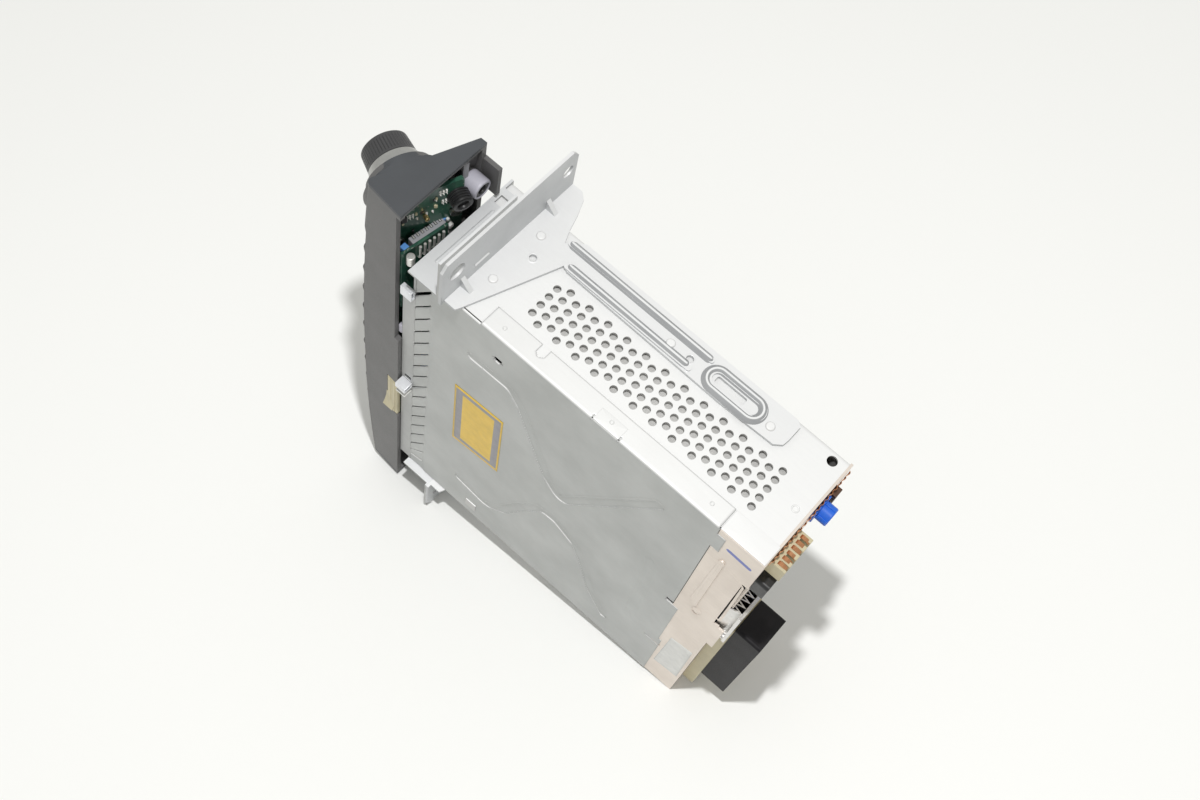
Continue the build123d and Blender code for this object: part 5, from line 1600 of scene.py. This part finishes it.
@dataclass
class RearSockets:
    """Everything that plugs in at the rear, with the folded fins."""

    blue_at: Spot = (-2.9, 199.5)
    blue_radius: float = 3.8
    barrel_y: float = 80.0
    flange_box: Box = ((-7.2, 89.0, 194.5), (1.4, 90.4, 204.0))
    strip_x: Spot = (-18.0, 27.0)
    strip_z: Spot = (203.4, 206.0)
    strip_y: float = 89.3
    finger_pitch: float = 2.5
    contact_x: tuple[float, ...] = (11.1, 13.6, 16.1, 18.6, 21.1, 23.6)

    def build(self) -> None:
        """Builds the sockets."""
        for node, width, kind, slot, name in (
            ("connector_base", 0.3, Finish.CREAM, "cream_plastic", "socket_base"),
            ("main_connector", 0.22, Finish.SOCKET, "black_plastic", "power_socket"),
            ("connector_pins", 0.12, Finish.BRASS, "brass", "power_pins"),
            ("aux_connector", 0.2, Finish.BROWN, "brown_plastic", "side_socket"),
            ("comb_connector", 0.2, Finish.CREAM, "cream_plastic", "comb_socket_body"),
            ("bus_connector", 0.25, Finish.BLACK, "black_plastic", "bus_socket_body"),
            ("fin_pack", 0.08, Finish.ALUMINIUM, "aluminium", "folded_fins"),
        ):
            rework(node, width, kind, slot, name)
        self._aerial()
        self._contacts()

    def _aerial(self) -> None:
        """The bright blue aerial socket: keyed barrel, flange and centre pin."""
        x, z = self.blue_at
        foot = np.array([x, self.barrel_y, z])
        r = self.blue_radius
        barrel = rounded([(2.8, 4.0), (r - 0.3, 0.2), (r, 0.5), (r, 9.0), (r + 0.35, 9.1),
                          (r + 0.35, 10.3), (r, 10.4), (r, 14.6), (r - 0.3, 15.0), (r - 0.8, 15.0),
                          (2.8, 14.6), (2.8, 9.0)], 0.25, 4)
        barrel.append(barrel[0])
        made = [turned("aerial_barrel", barrel, foot, Y_AXIS, Finish.BLUE, 72, 35)]
        plate = brick("aerial_flange", *self.flange_box, 0.4)
        made.append(paint(plate, Finish.BLUE))
        for k, turn in enumerate((0.4, 1.9, 3.6, 5.2)):
            out = np.array([math.cos(turn), 0.0, math.sin(turn)])
            root = np.array([x, self.flange_box[1][1], z]) + (r - 0.35) * out
            local = basis(root, np.cross(Y_AXIS, out), out)
            local[:3, 2] = Y_AXIS
            key = brick(f"aerial_key_{k}", (-0.8, 0.0, 0.0), (0.8, 0.75, 4.2), 0.2, local)
            made.append(paint(key, Finish.BLUE))
        floor = [(0.0, 9.6), (2.9, 9.6), (2.9, 9.0), (0.0, 9.0)]
        made.append(turned("aerial_floor", floor, foot, Y_AXIS, Finish.BLUE))
        pin = rounded([(0.0, 9.4), (0.6, 9.4), (0.6, 13.6), (0.3, 14.2), (0.0, 14.3)], 0.15, 3)
        made.append(turned("aerial_pin", pin, foot, Y_AXIS, Finish.BRASS, 24))
        settle(join("aerial_socket_body", made), "unit", "blue_plastic", "aerial_socket")

    def _contacts(self) -> None:
        """Copper contacts of the comb socket, and the earthing strip on the edge.

        The strip stands off by 0.7 * v * wave(x), a square wave with slanted flanks.
        """
        made = []
        for k, x in enumerate(self.contact_x):
            path = np.array([(x, 84.0, 201.8), (x, 89.4, 201.9), (x, 90.6, 202.6), (x, 91.8, 203.3),
                             (x, 93.6, 203.2), (x, 94.7, 202.4)])
            made.append(paint(strip(f"contact_{k}", path, X_AXIS, 1.5, 0.25), Finish.COPPER))
        x = np.linspace(*self.strip_x, 181)
        swing = np.sin(2 * np.pi * x / self.finger_pitch)
        wave = 0.35 + 0.35 * np.sign(swing) * np.minimum(1, 3 * np.abs(swing))
        v = np.linspace(0, 1, 5)
        y = self.strip_y + 0.7 * wave[:, None] * v[None, :]
        low, high = self.strip_z
        z = low + (high - low) * v[None, :] + 0 * x[:, None]
        points = np.stack([np.broadcast_to(x[:, None], y.shape), y, z], -1)
        finger = grid_mesh("earth_strip", points)
        shell = finger.modifiers.new("metal", "SOLIDIFY")
        shell.thickness = 0.2 * MM
        apply(finger)
        made.append(paint(smooth(finger, 35), Finish.COPPER))
        settle(join("rear_contacts", made), "unit", "brass")


@dataclass
class Mechanism:
    """Everything inside: deck, drive train, platter, clamp, laser and boards."""

    parts: tuple[tuple[str, float, Finish, str, str], ...] = (
        ("deck_base", 0.15, Finish.ZINC, "unit", "zinc_sheet"),
        ("deck_dampers", 0.4, Finish.RUBBER, "unit", "rubber_black"),
        ("disc_guide", 0.3, Finish.BLACK, "unit", "black_plastic"),
        ("feed_roller", 0.1, Finish.RUBBER, "roller", "rubber_black"),
        ("roller_gear", 0.06, Finish.WHITE, "roller", "white_gear"),
        ("idler_gear", 0.06, Finish.WHITE, "idler", "white_gear"),
        ("motor_pinion", 0.05, Finish.WHITE, "pinion", "white_gear"),
        ("deck_motors", 0.4, Finish.STEEL, "unit", "motor_steel"),
        ("spindle_motor", 0.4, Finish.STEEL, "unit", "motor_steel"),
        ("turntable", 0.25, Finish.BLACK, "platter", "black_plastic"),
        ("clamp_disc", 0.3, Finish.BLACK, "clamp", "black_plastic"),
        ("clamp_arm", 0.15, Finish.ZINC, "arm", "zinc_sheet"),
        ("laser_sled", 0.3, Finish.BLACK, "sled", "black_plastic"),
        ("guide_rods", 0.15, Finish.STEEL, "unit", "screw_steel"),
        ("lead_screw", 0.05, Finish.STEEL, "screw", "screw_steel"),
        ("main_board", 0.1, Finish.BOARD, "unit", "green_board"),
        ("board_parts", 0.2, Finish.CHIP, "unit", "black_plastic"),
        ("power_amplifier", 0.25, Finish.CHIP, "unit", "black_plastic"),
    )

    def build(self) -> None:
        """Rounds and dresses every inner piece."""
        for node, width, kind, body, slot in self.parts:
            rework(node, width, kind, slot, f"{node}_part", body)


def main() -> None:
    """Builds the studio and every sub-assembly of the radio."""
    Studio().build()
    for assembly in (CoverSheet(), SheetBody(), Brackets(), FrontPanel(), PanelBoard(), LatchClips(),
                     RearSockets(), Mechanism()):
        assembly.build()


if __name__ == "__main__":
    main()
